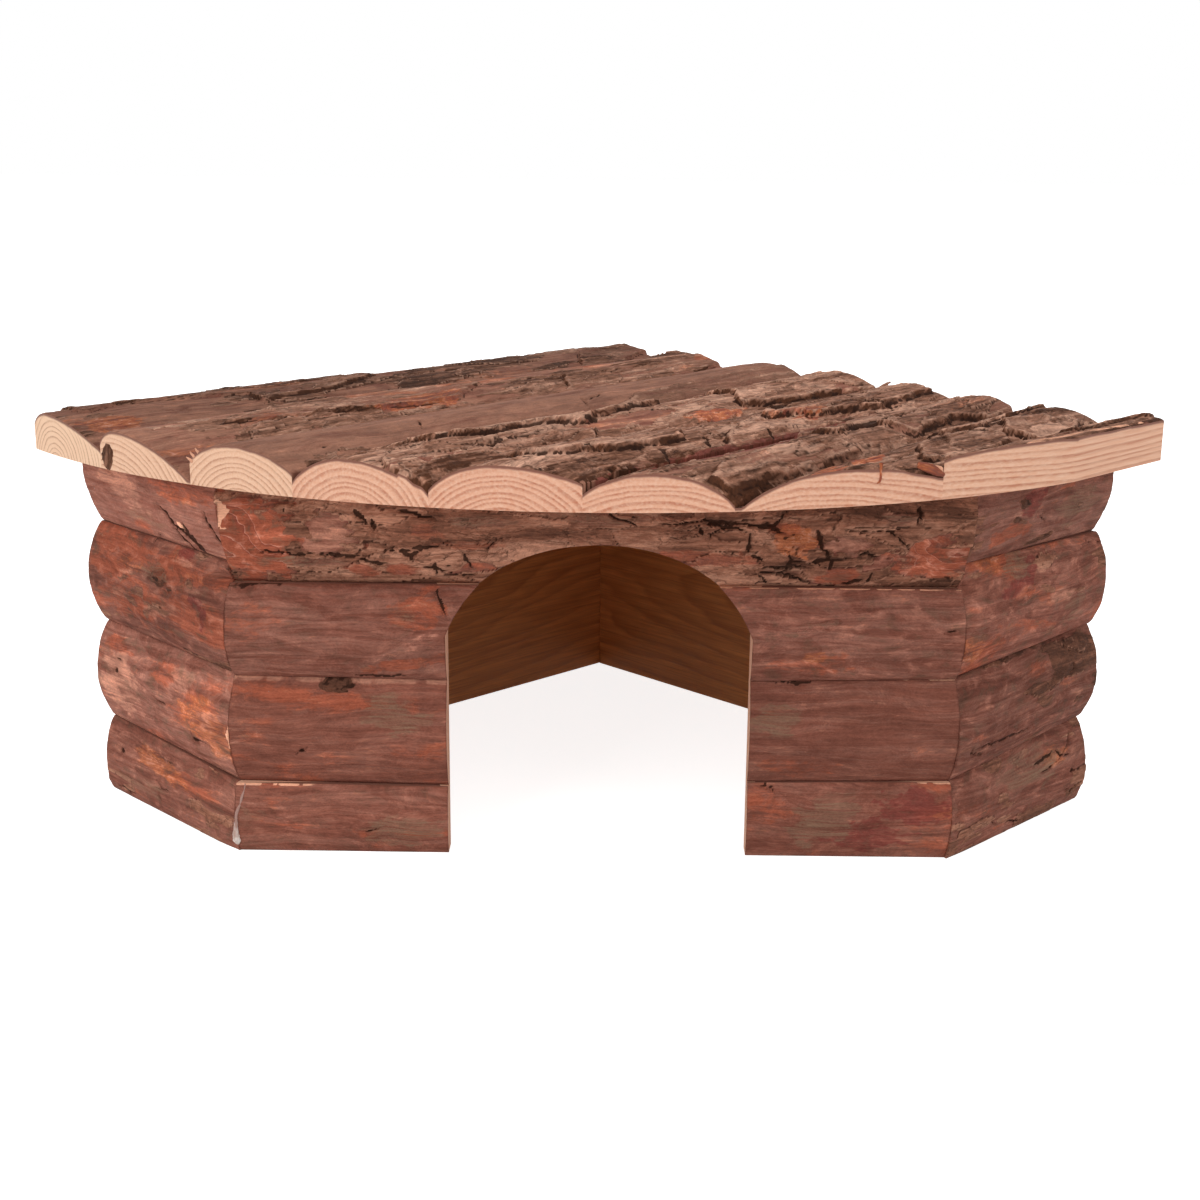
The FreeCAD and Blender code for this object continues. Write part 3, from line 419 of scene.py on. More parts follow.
# ---- What the user can change ----
class HouseSizes(bpy.types.PropertyGroup):
    """Sizes of the bark's relief and of the small pieces"""

    bark_pitch: length("Bark pitch", "Spacing of the bark's mesh points", 0.0007, 0.0005, 0.005)
    relief: FloatProperty(
        name="Relief", description="Height of flakes and depth of cracks against the natural ones",
        default=1.0, min=0.0, max=2.0, subtype="FACTOR",
    )
    layer: length("Bark layer", "Thickness of one layer of loose bark", 0.0004, 0.0, 0.002)
    crack: length("Crack depth", "Depth of the cracks between bark plates", 0.0013, 0.0, 0.004)
    board_rounding: length("Board rounding", "Radius of the boards' edges", 0.0008, 0.0001, 0.003)
    brad_head: length("Brad head", "Width of a brad's head", 0.0019, 0.0008, 0.004)
    brad_length: length("Brad length", "Length of a brad", 0.022, 0.01, 0.04)
    brad_wire: length("Brad wire", "Thickness of a brad's wire", 0.0011, 0.0005, 0.002)
    glue_width: length("Glue width", "Width of the glue run at the front left corner", 0.0016,
                       0.0, 0.004)


class HouseColours(bpy.types.PropertyGroup):
    """Colours of bark, wood, metal and floor"""

    # roof_light also colours the painted highlight on the lit edges of the roof's flakes.
    roof_light: colour("Roof bark, light", "Dusty top of the roof's bark", "bf927b")
    roof_middle: colour("Roof bark, middle", "Main colour of the roof's bark", "8e634f")
    roof_dark: colour("Roof bark, dark", "Deep parts of the roof's bark", "4c2c1c")
    roof_inner: colour("Roof inner bark", "Smooth inner bark on the roof", "9a6c58")
    # wall_light also colours the painted highlight on the lit edges of the walls' flakes.
    wall_light: colour("Wall crust, light", "Light part of the walls' outer bark", "b6826a")
    wall_middle: colour("Wall crust, middle", "Main colour of the walls' outer bark", "8c5c48")
    wall_dark: colour("Wall crust, dark", "Dark part of the walls' outer bark", "5e3c2e")
    mauve: colour("Mauve inner bark", "Shaved bark, greyed", "885d50")
    brown: colour("Brown inner bark", "Shaved bark, fresh", "855041")
    red: colour("Red inner bark", "Newest layer of inner bark", "a0533b")
    orange: colour("Orange inner bark", "Bark next to the wood", "b8693f")
    blush: colour("Dark red bark", "Deep red patches", "7a3a33")
    line: colour("Contour line", "Pale edge between two shaved layers", "cf917b")
    lichen: colour("Grey-green bark", "Grey-green remains of the outer bark", "80614e")
    pale: colour("Pale bark", "Pale mauve shaved bark", "b9826c")
    bast: colour("Bark edge", "Edge of the bark on a sawn face", "6e4034")
    # crack also colours painted shadow: beside flakes, at the foot of bark plates and in the wedges at the
    # front wall's top seam.
    crack: colour("Crack", "Bottom of the cracks", "2a140a")
    wood_pink: colour("Sawn wood, pink", "Spring wood of a pink log", "dda284")
    ring_pink: colour("Rings, pink", "Summer wood of a pink log", "b06648")
    wood_grey: colour("Sawn wood, pale", "Spring wood of a pale log", "e6bd9c")
    ring_grey: colour("Rings, brown", "Summer wood of a pale log", "a8775a")
    board: colour("Rear board", "Spring wood of the rear boards", "dd9355")
    board_ring: colour("Rear board grain", "Summer wood of the rear boards", "985527")
    steel: colour("Brad steel", "Brad heads", "b9b2aa")
    glue: colour("Glue", "Dried wood glue", "d9cdc4")
    floor: colour("Floor", "The studio's floor", "f4f4f4")


class HouseLight(bpy.types.PropertyGroup):
    """Strength of the studio's lights"""

    sky: FloatProperty(name="Sky", description="Even light from all round", default=0.62, min=0.0)
    key: power("Key", "Power of the large front lamp", 17.0)
    fill: power("Fill", "Power of the lamp on the right", 7.0)
    top: power("Top", "Power of the lamp overhead", 5.0)
    floor_glow: FloatProperty(name="Floor glow", description="What the camera sees the floor add",
                              default=0.84, min=0.0, max=1.0, subtype="FACTOR")


class HouseSettings(bpy.types.PropertyGroup):
    """Everything that shapes and colours the house"""

    sizes: PointerProperty(type=HouseSizes)
    colours: PointerProperty(type=HouseColours)
    light: PointerProperty(type=HouseLight)


# ---- Repeatable noise ----
def lattice(column, row, seed):
    """A repeatable number from 0 to 1 for each point of a lattice."""
    mixed = (column * 374761393 + row * 668265263 + seed * 982451653) & 0xFFFFFFFF
    mixed = ((mixed ^ (mixed >> 13)) * 1274126177) & 0xFFFFFFFF
    mixed = ((mixed ^ (mixed >> 16)) * 668265263) & 0xFFFFFFFF
    return (mixed ^ (mixed >> 15)) / 4294967295.0


def wave(x, y, seed):
    """Smooth noise from about -1 to 1."""
    column, row = np.floor(x).astype(np.int64), np.floor(y).astype(np.int64)
    fx, fy = x - column, y - row
    ease_x = fx * fx * fx * (fx * (fx * 6 - 15) + 10)
    ease_y = fy * fy * fy * (fy * (fy * 6 - 15) + 10)
    total = np.zeros(np.shape(x))
    for dx in (0, 1):
        for dy in (0, 1):
            turn = lattice(column + dx, row + dy, seed) * (2 * math.pi)
            slope = np.cos(turn) * (fx - dx) + np.sin(turn) * (fy - dy)
            weight = (ease_x if dx else 1 - ease_x) * (ease_y if dy else 1 - ease_y)
            total += slope * weight
    return total * 1.5


def rough(x, y, seed, octaves=4, gain=0.5):
    """Noise with finer and finer detail."""
    total, strength, reach = 0.0, 1.0, 0.0
    for octave in range(octaves):
        total = total + wave(x * 2**octave, y * 2**octave, seed + 57 * octave) * strength
        reach += strength
        strength *= gain
    return total / reach * 1.3


def cells(along, across, long, wide, seed):
    """Irregular cells of about long by wide mm.

    Gives the distance in mm to the nearest border, a number from 0 to 1 for the cell, the number
    of the cell behind that border, and the place across the cell from its middle.
    """
    x, y = along / long, across / wide
    column, row = np.floor(x).astype(np.int64), np.floor(y).astype(np.int64)
    spots = []
    for dx in (-1, 0, 1):
        for dy in (-1, 0, 1):
            i, j = column + dx, row + dy
            spots.append((i + 0.5 + 0.8 * (lattice(i, j, seed) - 0.5) - x,
                          j + 0.5 + 0.8 * (lattice(i, j, seed + 7) - 0.5) - y,
                          lattice(i, j, seed + 13)))
    nearest = np.stack([np.hypot(px, py) for px, py, _ in spots]).argmin(0)
    own_x, own_y, kind = (np.choose(nearest, [spot[part] for spot in spots]) for part in range(3))
    border, other = np.full(np.shape(x), 1e3), kind
    for px, py, number in spots:
        ex, ey = px - own_x, py - own_y
        steep = np.hypot(ex / long, ey / wide)
        gap = ((px + own_x) * ex + (py + own_y) * ey) / 2 / np.maximum(steep, 1e-9)
        nearer = (steep > 1e-9) & (gap < border)
        border = np.where(nearer, gap, border)
        other = np.where(nearer, number, other)
    return border, kind, other, -own_y * wide


def ease(x):
    """0 below 0, 1 above 1, and smooth between."""
    x = np.clip(x, 0.0, 1.0)
    return x * x * (3 - 2 * x)


# ---- Bark ----
# Of these masks, edge is a painted highlight on flakes' lit edges, shadow a painted shadow beside them, and
# the piece's brightness mask holds dusty patches with painted light and shade.
MASKS = (
    "crust", "crack", "red", "lichen", "peel", "raw", "orange", "blush", "pale", "line", "grey",
    "tone", "edge", "shadow", "dust_and_painted_light", "flow_along", "flow_across", "flow_depth",
)

# Loose bark lies in layers of flakes. Each layer has its flakes' length and width in mm, their
# thickness against one layer, how much they differ in tone, and how well they cover.
Flakes = namedtuple("Flakes", "long wide thick tint cover")
FLAKE_LAYERS = (Flakes(50.0, 11.5, 2.0, 0.35, 1.0), Flakes(23.0, 6.5, 1.2, 0.3, 0.9),
                Flakes(10.0, 3.6, 0.6, 0.2, 0.7))


def mark_share(mark, along, across, seed):
    """How much each point belongs to a mark, with an uneven border."""
    turn = math.radians(mark.turn)
    x, y = along - mark.along, across - mark.across
    x, y = x * math.cos(turn) + y * math.sin(turn), y * math.cos(turn) - x * math.sin(turn)
    if mark.kind == "split":
        bends = rough(x / (4 + 0.1 * mark.half_along), 0 * x, seed, 4, 0.6)
        y = y + (0.8 + 0.04 * mark.half_along) * bends
        thick = mark.half_across * np.maximum(0.85 + 0.9 * rough(x / 3, 0 * x, seed + 5, 3), 0.25)
        return 1.2 - np.hypot(x / mark.half_along, y / thick)
    distance = np.hypot(x / mark.half_along, y / mark.half_across)
    return 1 - distance + 0.7 * rough(along / 11, across / 4.5, seed, 5, 0.6)


class MarkShares:
    """How much each point of a surface belongs to the marks on it, kind by kind."""

    def __init__(self, marks, along, across, seed):
        self.none = np.zeros(np.shape(along))
        self.kinds = {}
        for number, mark in enumerate(starmap(Mark, marks)):
            share = mark_share(mark, along, across, seed + 31 * number)
            self.kinds.setdefault(mark.kind, []).append((share, mark.amount))

    def of(self, kind):
        """The share and the amount of each mark of a kind."""
        return self.kinds.get(kind, [])

    def marked(self, kind, sharpness=0.35):
        """A mask of all marks of a kind."""
        best = self.none
        for share, amount in self.of(kind):
            best = np.maximum(best, ease(share / sharpness) * min(amount, 1.0))
        return best


def lay_flakes(relief, a, c, cover, layer, seed):
    """Adds the layers of flakes. Beside a step, a painted shadow darkens the lower flake and a painted
    highlight lightens the higher flake's edge.

    Gives the relief, and masks of what they cover, their tone, their lit edges with a painted
    highlight and their painted shadows.
    """
    crust = tone = edge = shadow = np.zeros(np.shape(a))
    for level, flakes in enumerate(FLAKE_LAYERS):
        border, kind, other, place = cells(a, c, flakes.long, flakes.wide, seed + 3 * level)

        def stands(number):
            return ease((cover - number) / 0.15) * (0.45 + 0.55 * np.mod(number * 7.31, 1.0))

        own, behind = stands(kind), stands(other)
        step = behind - own
        tilt = (np.mod(kind * 3.7, 1.0) - 0.5) * place / flakes.wide
        lip = 0.35 * np.maximum(-step, 0) * np.exp(-border / 0.9)
        relief = relief + layer * flakes.thick * (own * (1 + 0.8 * tilt) + lip)
        weight = min(1.0, flakes.thick)
        # Painted shadow on the lower flake beside a step, and a painted highlight on the higher flake's edge.
        shadow = np.maximum(shadow, weight * np.clip(step * 1.6, 0, 1) * np.exp(-border / 0.5))
        edge = np.maximum(edge, weight * np.clip(-step * 1.6, 0, 1) * np.exp(-border / 0.6))
        tone = tone + (np.mod(kind * 5.7, 1.0) - 0.5) * flakes.tint * (0.3 + own)
        crust = np.maximum(crust, ease(own * 3) * flakes.cover)
    return relief, crust, tone, edge, shadow


def split_bark(relief, tone, a, c, opening, bark, splits):
    """Splits thick bark into plates of different heights. Gives relief, tone and the cracks."""
    seed = bark.seed
    ragged = 1 + 0.9 * rough(a / 5, c / 3.5, seed + 47, 3)
    gap, kind, _, _ = cells(a, c, 24.0, 9.5, seed + 41)
    crack = ease(1.2 - gap / (0.3 + 0.6 * opening * ragged)) * ease(opening * 4)
    gap, small, _, _ = cells(a + 40, c, 9.0, 5.0, seed + 43)
    fine_crack = ease(1.1 - gap / 0.4) * ease(opening * 2.2 - 0.5) * ease(ragged - 0.5)
    relief = relief + (kind - 0.5) * 0.8 * ease(opening * 3) + (small - 0.5) * 0.3 * opening
    tone = tone + (kind - 0.5) * 0.3 * ease(opening * 3)

    split = np.zeros(np.shape(a))
    for share, amount in splits:
        split = np.maximum(split, ease((share - 0.2) / 0.5) * amount)
    line_field = rough(a / 90, c / 8, seed + 45, 3)
    long_split = ease(1 - np.abs(line_field) / 0.045) * ease((opening + 0.35 * bark.crust - 0.3) * 3)
    long_split = long_split * ease(rough(a / 20, c / 8, seed + 46, 2) * 2 + 0.4)
    crack = np.maximum(np.maximum(crack, 0.6 * fine_crack), np.maximum(split, 0.7 * long_split))
    return relief, tone, crack


def bark_surface(along, across, bark, marks, sizes):
    """The relief in mm and the masks of bark, at points given along and across the grain in mm."""
    seed = bark.seed
    layer = sizes.layer / MM
    bend = rough(along / 48, across / 15, seed + 1, 3)
    a = along + 5.0 * rough(along / 24, across / 10, seed + 6, 3)
    c = across + 2.6 * bend + 1.1 * rough(along / 9, across / 4.5, seed + 2, 4, 0.6)

    relief = 0.45 * bark.swell * rough(along / 60, across / 17, seed + 3, 3)
    relief = relief + 0.20 * bark.ridges * rough(a / 38, c / 2.8, seed + 4, 3)
    relief = relief + 0.05 * rough(a / 5, c / 2.4, seed + 5, 2)

    shares = MarkShares(marks, along, across, seed + 400)
    none, marked = shares.none, shares.marked
    shaved, plate, bare = marked("shaved", 0.5), marked("plate"), marked("bare", 0.5)
    red_patch, pit, dark = marked("red"), marked("pit", 0.5), marked("dark", 0.5)

    cover = bark.crust * 1.1 + 0.35 * marked("crust", 0.6) - 1.3 * shaved - 1.5 * bare
    cover = cover + 0.30 * rough(along / 40, across / 14, seed + 8, 3) * (bark.crust > 0.0)
    relief, crust, tone, edge, shadow = lay_flakes(relief, a, c, cover, layer, seed + 20)
    relief = relief - layer * 1.8 * bark.crust

    opening = rough(along / 30, across / 12, seed + 40, 3) * 0.9 + bark.cracks * 1.1 - 0.4
    opening = np.clip(opening - 1.5 * shaved - 1.5 * bare, 0.0, 1.0)
    relief, tone, crack = split_bark(relief, tone, a, c, opening, bark, shares.of("split"))
    relief = relief - sizes.crack / MM * crack

    tone = tone - 0.45 * dark
    relief = relief - 1.0 * pit + dark * 0.4 * rough(a / 3, c / 2, seed + 60, 3)
    relief = relief + 0.5 * plate

    # Shaved inner bark comes off in thin steps, which show as contour lines.
    peel = 0.5 + 0.5 * rough(a / 46, c / 15, seed + 50, 3, 0.32)
    for share, amount in shares.of("flow"):
        peel = peel + 0.5 * amount * np.clip(share + 0.3, 0, 1.3)
    steps = peel * 6
    relief = relief + 0.10 * (np.floor(steps) + ease((steps - np.floor(steps)) / 0.2)) - 0.3
    relief = relief - 0.5 * shaved

    red = bark.red * 1.5 - 0.45 + 0.9 * rough(a / 40, c / 13, seed + 70, 3)
    red = ease(red * (1 - crust) + 0.5 * shadow * bark.red)
    crust = np.clip(crust * (1 - 0.85 * red_patch), 0, 1)
    hollow = ease(rough(a / 3, c / 2, seed + 61, 3) + 0.35)
    masks = {
        "crust": np.clip(crust + dark, 0, 1),
        "crack": np.clip(crack + 0.9 * pit + dark * hollow, 0, 1),
        "red": np.maximum(red, np.maximum(red_patch, shaved)),
        "lichen": marked("lichen", 0.6),
        "peel": peel,
        "raw": marked("raw", 0.2),
        "orange": np.maximum(marked("orange"), plate * 0.8),
        "blush": marked("blush", 0.3),
        "pale": marked("pale", 0.3),
        "line": np.maximum(bark.lines + none, np.maximum(marked("flow", 0.8), shaved)),
        "grey": bark.grey + none,
        "tone": tone,
        "edge": edge,
        "shadow": shadow,
        # The piece's brightness mask: random dusty patches, plus the piece's light, which is partly painted
        # light and shade, plus sunny and gloomy marks, which are painted light and painted shade.
        "dust_and_painted_light": bark.light + 0.7 * rough(along / 36, across / 9, seed + 75, 4, 0.6)
        + marked("sunny", 1.0) - marked("gloomy", 1.0),
        "flow_along": along + 5.0 * rough(along / 24, across / 10, seed + 6, 2) + seed * 31,
        "flow_across": across + 2.6 * bend,
        "flow_depth": 3 * relief + 9 * tone,
    }
    return relief * sizes.relief, masks


# ---- Meshes ----
def store(mesh, name, values, kind="FLOAT"):
    """Keeps one value or one vector per mesh point under a name, for the materials."""
    field = "value" if kind == "FLOAT" else "vector"
    attribute = mesh.attributes.new(name, kind, "POINT")
    attribute.data.foreach_set(field, np.asarray(values, np.float32).ravel())


def placed(name, data):
    """A new object in the scene."""
    obj = bpy.data.objects.new(name, data)
    bpy.context.scene.collection.objects.link(obj)
    return obj


def mesh_from(work, name):
    """A mesh from one under construction, which is used up."""
    mesh = bpy.data.meshes.new(name)
    work.to_mesh(mesh)
    work.free()
    return mesh


def finished(name, points, faces, groups, materials, attributes):
    """A new object from points in mm, faces, the material number of each face, and its values."""
    mesh = bpy.data.meshes.new(name)
    mesh.from_pydata((np.asarray(points) * MM).tolist(), [], [list(map(int, f)) for f in faces])
    mesh.polygons.foreach_set("material_index", np.asarray(groups, np.int32))
    mesh.polygons.foreach_set("use_smooth", np.asarray(groups) == BARK)
    for key, values in attributes.items():
        values = np.asarray(values)
        store(mesh, key, values, "FLOAT" if values.ndim == 1 else "FLOAT_VECTOR")
    for made in materials:
        mesh.materials.append(made)
    work = bmesh.new()
    work.from_mesh(mesh)
    bmesh.ops.recalc_face_normals(work, faces=work.faces)
    work.to_mesh(mesh)
    work.free()
    mesh.update()
    return placed(name, mesh)


# The materials of a half log's faces, by number: bark, sawn wood, and bark on a flat end.
BARK, SAWN, BARK_END = range(3)


def in_threes(masks, count):
    """The masks of all points as vectors of three."""
    vectors = {}
    for first in range(0, len(MASKS), 3):
        three = [np.broadcast_to(masks.get(key, 0.0), count) for key in MASKS[first:first + 3]]
        vectors[f"bark_{first // 3}"] = np.stack(three, -1)
    return vectors


def in_log(along, across, depth, rings):
    """Places in the log in mm, and the same measured from the log's middle in ring spacings."""
    from_middle = np.stack(
        [(across - rings.across) / rings.pitch, (depth + rings.below) / rings.pitch,
         0 * across + rings.pink], -1
    )
    return np.stack([along, across, depth], -1), from_middle


def half_log(name, outer, inner, masks, materials, rind, bark_ends):
    """A closed slab. Its bark is a grid of points; sawn faces join the grid's border to the back.

    outer and inner each hold the points of one side and their places in the log, both in mm and
    in ring spacings. rind is the bark's thickness at each point, and bark_ends names the ends
    that show bark.
    """
    rows, columns = outer[0].shape[:2]
    number = np.arange(rows * columns).reshape(rows, columns)
    border = np.concatenate(
        [number[0, :-1], number[:-1, -1], number[-1, :0:-1], number[:0:-1, 0]]
    )
    under = rows * columns + np.arange(len(border))
    skin = np.stack(
        [number[:-1, :-1], number[1:, :-1], number[1:, 1:], number[:-1, 1:]], -1
    ).reshape(-1, 4)
    sides = np.stack([border, np.roll(border, -1), np.roll(under, -1), under], -1)
    faces = [*skin, *sides, under[::-1]]
    groups = [BARK] * len(skin)
    for end, count in (("first", columns - 1), ("high", rows - 1), ("last", columns - 1),
                       ("low", rows - 1)):
        groups += [BARK_END if end in bark_ends else SAWN] * count
    groups.append(SAWN)

    def both(values, behind):
        flat = values.reshape(rows * columns, -1)
        return np.concatenate([flat, behind.reshape(rows * columns, -1)[border]])

    points, grain, rings = (both(front, back) for front, back in zip(outer, inner))
    depth = np.linalg.norm(outer[0] - inner[0], axis=-1)
    attributes = {
        "grain": grain,
        "rings": rings,
        "depth": both(0 * depth, depth)[:, 0],
        "rind": both(rind, rind)[:, 0],
    }
    flat = {key: both(values, values)[:, 0] for key, values in masks.items()}
    attributes.update(in_threes(flat, len(points)))
    return finished(name, points, faces, groups, [*materials, materials[0]], attributes)


def keep(obj, slot, *nodes):
    """The piece rides on the house and stands for its solids, which are hidden. slot is not used."""
    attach(obj, "root")
    if nodes:
        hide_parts(*nodes)


# ---- Roof planks ----
def roof_point(across, inset, height):
    """A point of the roof, from its distances to the left rear and the right rear edge."""
    across, inset, height = np.broadcast_arrays(across, inset, height)
    x = (across - inset) * DIAGONAL
    y = ROOF_APEX_Y - (across + inset) * DIAGONAL
    return np.stack([x, y, height], -1)


def front_inset(across):
    """How far the roof's front arc is from the right rear edge."""
    across = np.minimum(across, ROOF_EDGE + 1)
    sagitta = ROOF_TIP_Y + ROOF_DEPTH / 2
    radius = (ROOF_TIP_X**2 + sagitta**2) / (2 * sagitta)
    middle = (ROOF_APEX_Y + ROOF_DEPTH / 2 - radius) * DIAGONAL
    return middle + np.sqrt(radius**2 - (across - middle) ** 2)


class PlankPlace:
    """Where a plank lies on the roof, with the round top of its solid."""

    def __init__(self, index):
        self.plank = plank = PLANKS[index]
        self.number = index + 1
        rear = sum(other.rear_width for other in PLANKS[:index])
        front = sum(other.front_width for other in PLANKS[:index])
        self.rears = (rear, rear + plank.rear_width)
        fronts = (front, min(front + plank.front_width, ROOF_EDGE))
        self.slopes = [(f - r) / front_inset(f) for r, f in zip(self.rears, fronts)]
        self.length = float(front_inset(sum(fronts) / 2))
        self.width = (plank.rear_width + plank.front_width) / 2
        self.crest_ends = (self.across(0.0, plank.rear_crest_at),
                           self.across(self.length, plank.front_crest_at))

    def across(self, inset, share):
        """How far across the roof a share of the plank's width is."""
        left, right = (rear + slope * inset for rear, slope in zip(self.rears, self.slopes))
        return left + (right - left) * share

    def grid(self, columns, rows):
        """Points across and along the plank that end on the front arc, and their width shares."""
        share = np.linspace(0, 1, columns)[:, None] * np.ones((1, rows))
        steps = np.linspace(0, 1, rows)[None, :]
        inset = steps * self.length
        for _ in range(8):
            inset = steps * front_inset(self.across(inset[:, -1:], share[:, -1:]))
        return self.across(inset, share), inset, share

    def round_top(self, across, inset):
        """The height of the log's two arcs over the roof's underside."""
        plank = self.plank
        along = inset / self.length
        run = across - self.crest_ends[0] - (self.crest_ends[1] - self.crest_ends[0]) * along
        fall = np.zeros(np.shape(run))
        ends = ((plank.rear_width, plank.rear_crest_at), (plank.front_width, plank.front_crest_at))
        for side, drop, share in ((run < 0, plank.left_fall, lambda at: at),
                                  (run >= 0, plank.right_fall, lambda at: 1 - at)):
            widest = max(width * share(at) for width, at in ends)
            radius = (widest**2 + drop**2) / (2 * drop)
            far = np.maximum(np.abs(run) - widest, 0)
            near = np.abs(run) - far
            slope = widest / math.sqrt(radius**2 - widest**2)
            fall = np.where(side, radius - np.sqrt(radius**2 - near**2) + far * slope, fall)
        return plank.rear_crest + (plank.front_crest - plank.rear_crest) * along - fall

    def plates(self, across, inset):
        """The height of thick bark plates, and masks of painted shadow at their foot, painted shade on their
        face and a painted highlight on their rim.
        """
        seed = self.plank.bark.seed
        x = across + 1.2 * rough(inset / 11, across / 6, seed + 80, 3, 0.45)
        y = inset + 3.4 * rough(inset / 13, across / 4, seed + 81, 3, 0.45)
        height, foot, face, rim = (np.zeros(np.shape(across)) for _ in range(4))
        for plate in BARK_PLATES:
            if plate.plank != self.number:
                continue
            corners = [
                (self.across(along * self.length, share), along * self.length)
                for along, share in plate.corners
            ]
            inside = polygon_depth(x, y, corners)
            cover = ease(inside / 1.1 + 0.5)
            lip = 0.35 * np.exp(-(((inside - 1.1) / 1.3) ** 2)) * cover
            height = height + plate.height * (cover + lip)
            limit = 0.1 + 0.5 * rough(inset / 14, across / 6, seed + 82, 3)
            strength = 0.7 + 0.3 * (plate.height > 1.2)
            # Painted shadow at the foot of a plate, painted shade on its steep face, and a painted highlight
            # along its rim.
            dark = ease((inside + 1.0) / 0.5) * ease((limit - inside) / 0.5)
            foot = np.maximum(foot, dark * strength)
            face = np.maximum(face, ease((inside + 0.8) / 0.4) * ease((0.7 - inside) / 0.4))
            rim = np.maximum(rim, np.exp(-(((inside - 1.2) / 0.6) ** 2)) * strength)
        return height, foot, face, rim


def polygon_depth(x, y, corners):
    """How deep points lie inside a polygon, or, negative, how far outside."""
    nearest = np.full(np.shape(x), 1e9)
    inside = np.zeros(np.shape(x), bool)
    for (ax, ay), (bx, by) in zip(corners, corners[1:] + corners[:1]):
        ex, ey = bx - ax, by - ay
        along = np.clip(((x - ax) * ex + (y - ay) * ey) / (ex * ex + ey * ey), 0, 1)
        nearest = np.minimum(nearest, np.hypot(x - ax - along * ex, y - ay - along * ey))
        if ay != by:
            crossing = ((ay > y) != (by > y)) & (x < ex * (y - ay) / ey + ax)
            inside ^= crossing
    return np.where(inside, nearest, -nearest)


def plank_surface(place, across, inset, share, sizes):
    """The finished bark height over the roof's underside, and the masks."""
    plank = place.plank
    width = share * place.width
    relief, masks = bark_surface(inset, width, plank.bark, plank.marks, sizes)
    plates, foot, face, rim = place.plates(across, inset)
    side = np.minimum(width, place.width - width)
    front = front_inset(across) - inset
    end = np.minimum(inset, front)
    relief = relief * (0.3 + 0.7 * ease(side / 5)) * ease(0.15 + end / 7)
    chip = 0.5 + 0.5 * rough(width / 6, inset * 0, plank.bark.seed + 90, 3)
    relief = relief + plates * ease(0.4 + front / 4) - ease(1 - end / 1.3) * (0.15 + 0.3 * chip)
    relief = relief - ease(1 - side / 1.2) * 0.3 - 0.3 * foot
    # Painted shadow at the foot of plates joins the crack mask. The tone takes painted shade on plate faces
    # and along the plank's sides where it meets the next plank, and a painted highlight on plate rims. Faces
    # lose the painted flake highlights.
    masks["crack"] = np.maximum(masks["crack"] * ease(end / 5), foot * ease(end / 3))
    masks["tone"] = masks["tone"] - 0.3 * face - 0.35 * ease((1.8 - side) / 0.8) + 0.25 * rim
    masks["edge"] = masks["edge"] * (1 - face)
    masks["crust"] = np.clip(masks["crust"] + 0.5 * ease(plates / 0.8), 0, 1)
    return np.maximum(place.round_top(across, inset) + relief, 1.2), masks


def build_plank(index, settings):
    """One roof plank."""
    pitch = settings.sizes.bark_pitch / MM
    place = PlankPlace(index)
    plank = place.plank
    columns = max(8, round(place.width / pitch)) + 1
    rows = round(place.length / pitch) + 1
    across, inset, share = place.grid(columns, rows)
    height, masks = plank_surface(place, across, inset, share, settings.sizes)

    def side(rise):
        log_place = in_log(inset + plank.bark.seed * 7, share * place.width, rise, plank.rings)
        return roof_point(across, inset, WALL_HEIGHT + rise), *log_place

    obj = half_log(
        f"roof_plank_{place.number}_bark_and_wood", side(height), side(0 * height), masks,
        [finish_of("roof_bark", settings), finish_of("sawn_softwood", settings)],
        np.full(np.shape(height), 1.0),
        ("first",) * (plank is not PLANKS[0]) + ("last",) * (plank is not PLANKS[-1]),
    )
    keep(obj, "roof_log", f"roof_plank_{place.number}")


# ---- Wall slabs ----
# A wall starts at a front corner, runs one way, and faces outward.
Wall = namedtuple("Wall", "start way outward length")
WALLS = {
    "front": Wall((-FRONT_HALF, FRONT_Y), (1.0, 0.0), (0.0, -1.0), 2 * FRONT_HALF),
    "left": Wall((-FRONT_HALF, FRONT_Y), (-DIAGONAL, DIAGONAL), (-DIAGONAL, -DIAGONAL), SIDE_LENGTH),
    "right": Wall((FRONT_HALF, FRONT_Y), (DIAGONAL, DIAGONAL), (DIAGONAL, -DIAGONAL), SIDE_LENGTH),
}


def wall_point(wall, along, out, height):
    """A point that far along a wall, that far out of its seam plane, at that height."""
    start, way, outward, _ = WALLS[wall]
    x = start[0] + way[0] * along + outward[0] * out
    y = start[1] + way[1] * along + outward[1] * out
    return np.stack(np.broadcast_arrays(x, y, height), -1)


def seams_of(slab):
    """The seams under and over a slab."""
    seams = SEAMS[slab.wall, slab.part]
    return seams[slab.row], seams[slab.row + 1]


def log_of(slab):
    """The log that a slab was sawn from."""
    return (FRONT_LOGS if slab.wall == "front" else SIDE_LOGS)[slab.row]


def round_out(log, crest, height):
    """How far a log's round side stands out of the seam plane, with its crest at a height."""
    return log.crest - log.radius + np.sqrt(np.maximum(log.radius**2 - (height - crest) ** 2, 1.0))


def seam_height(seam, along, wall):
    """A seam's height that far along its wall."""
    return seam.start + (seam.end - seam.start) * along / WALLS[wall].length


def door_half_width(height):
    """Half the doorway's width at that height."""
    share = np.clip((height - HEAD_BASE) / HEAD_RISE, 0, 1)
    return np.where(height <= JAMB_TOP, DOOR_HALF, HEAD_HALF * np.sqrt(1 - share**2))


def arch_height(along):
    """The doorway's height that far along the front wall, or nothing beside it."""
    share = np.clip(np.abs(along - DOOR_CENTRE) / HEAD_HALF, 0, 1)
    arch = HEAD_BASE + HEAD_RISE * np.sqrt(1 - share**2)
    return np.where(np.abs(along - DOOR_CENTRE) < DOOR_HALF, arch, 0.0)


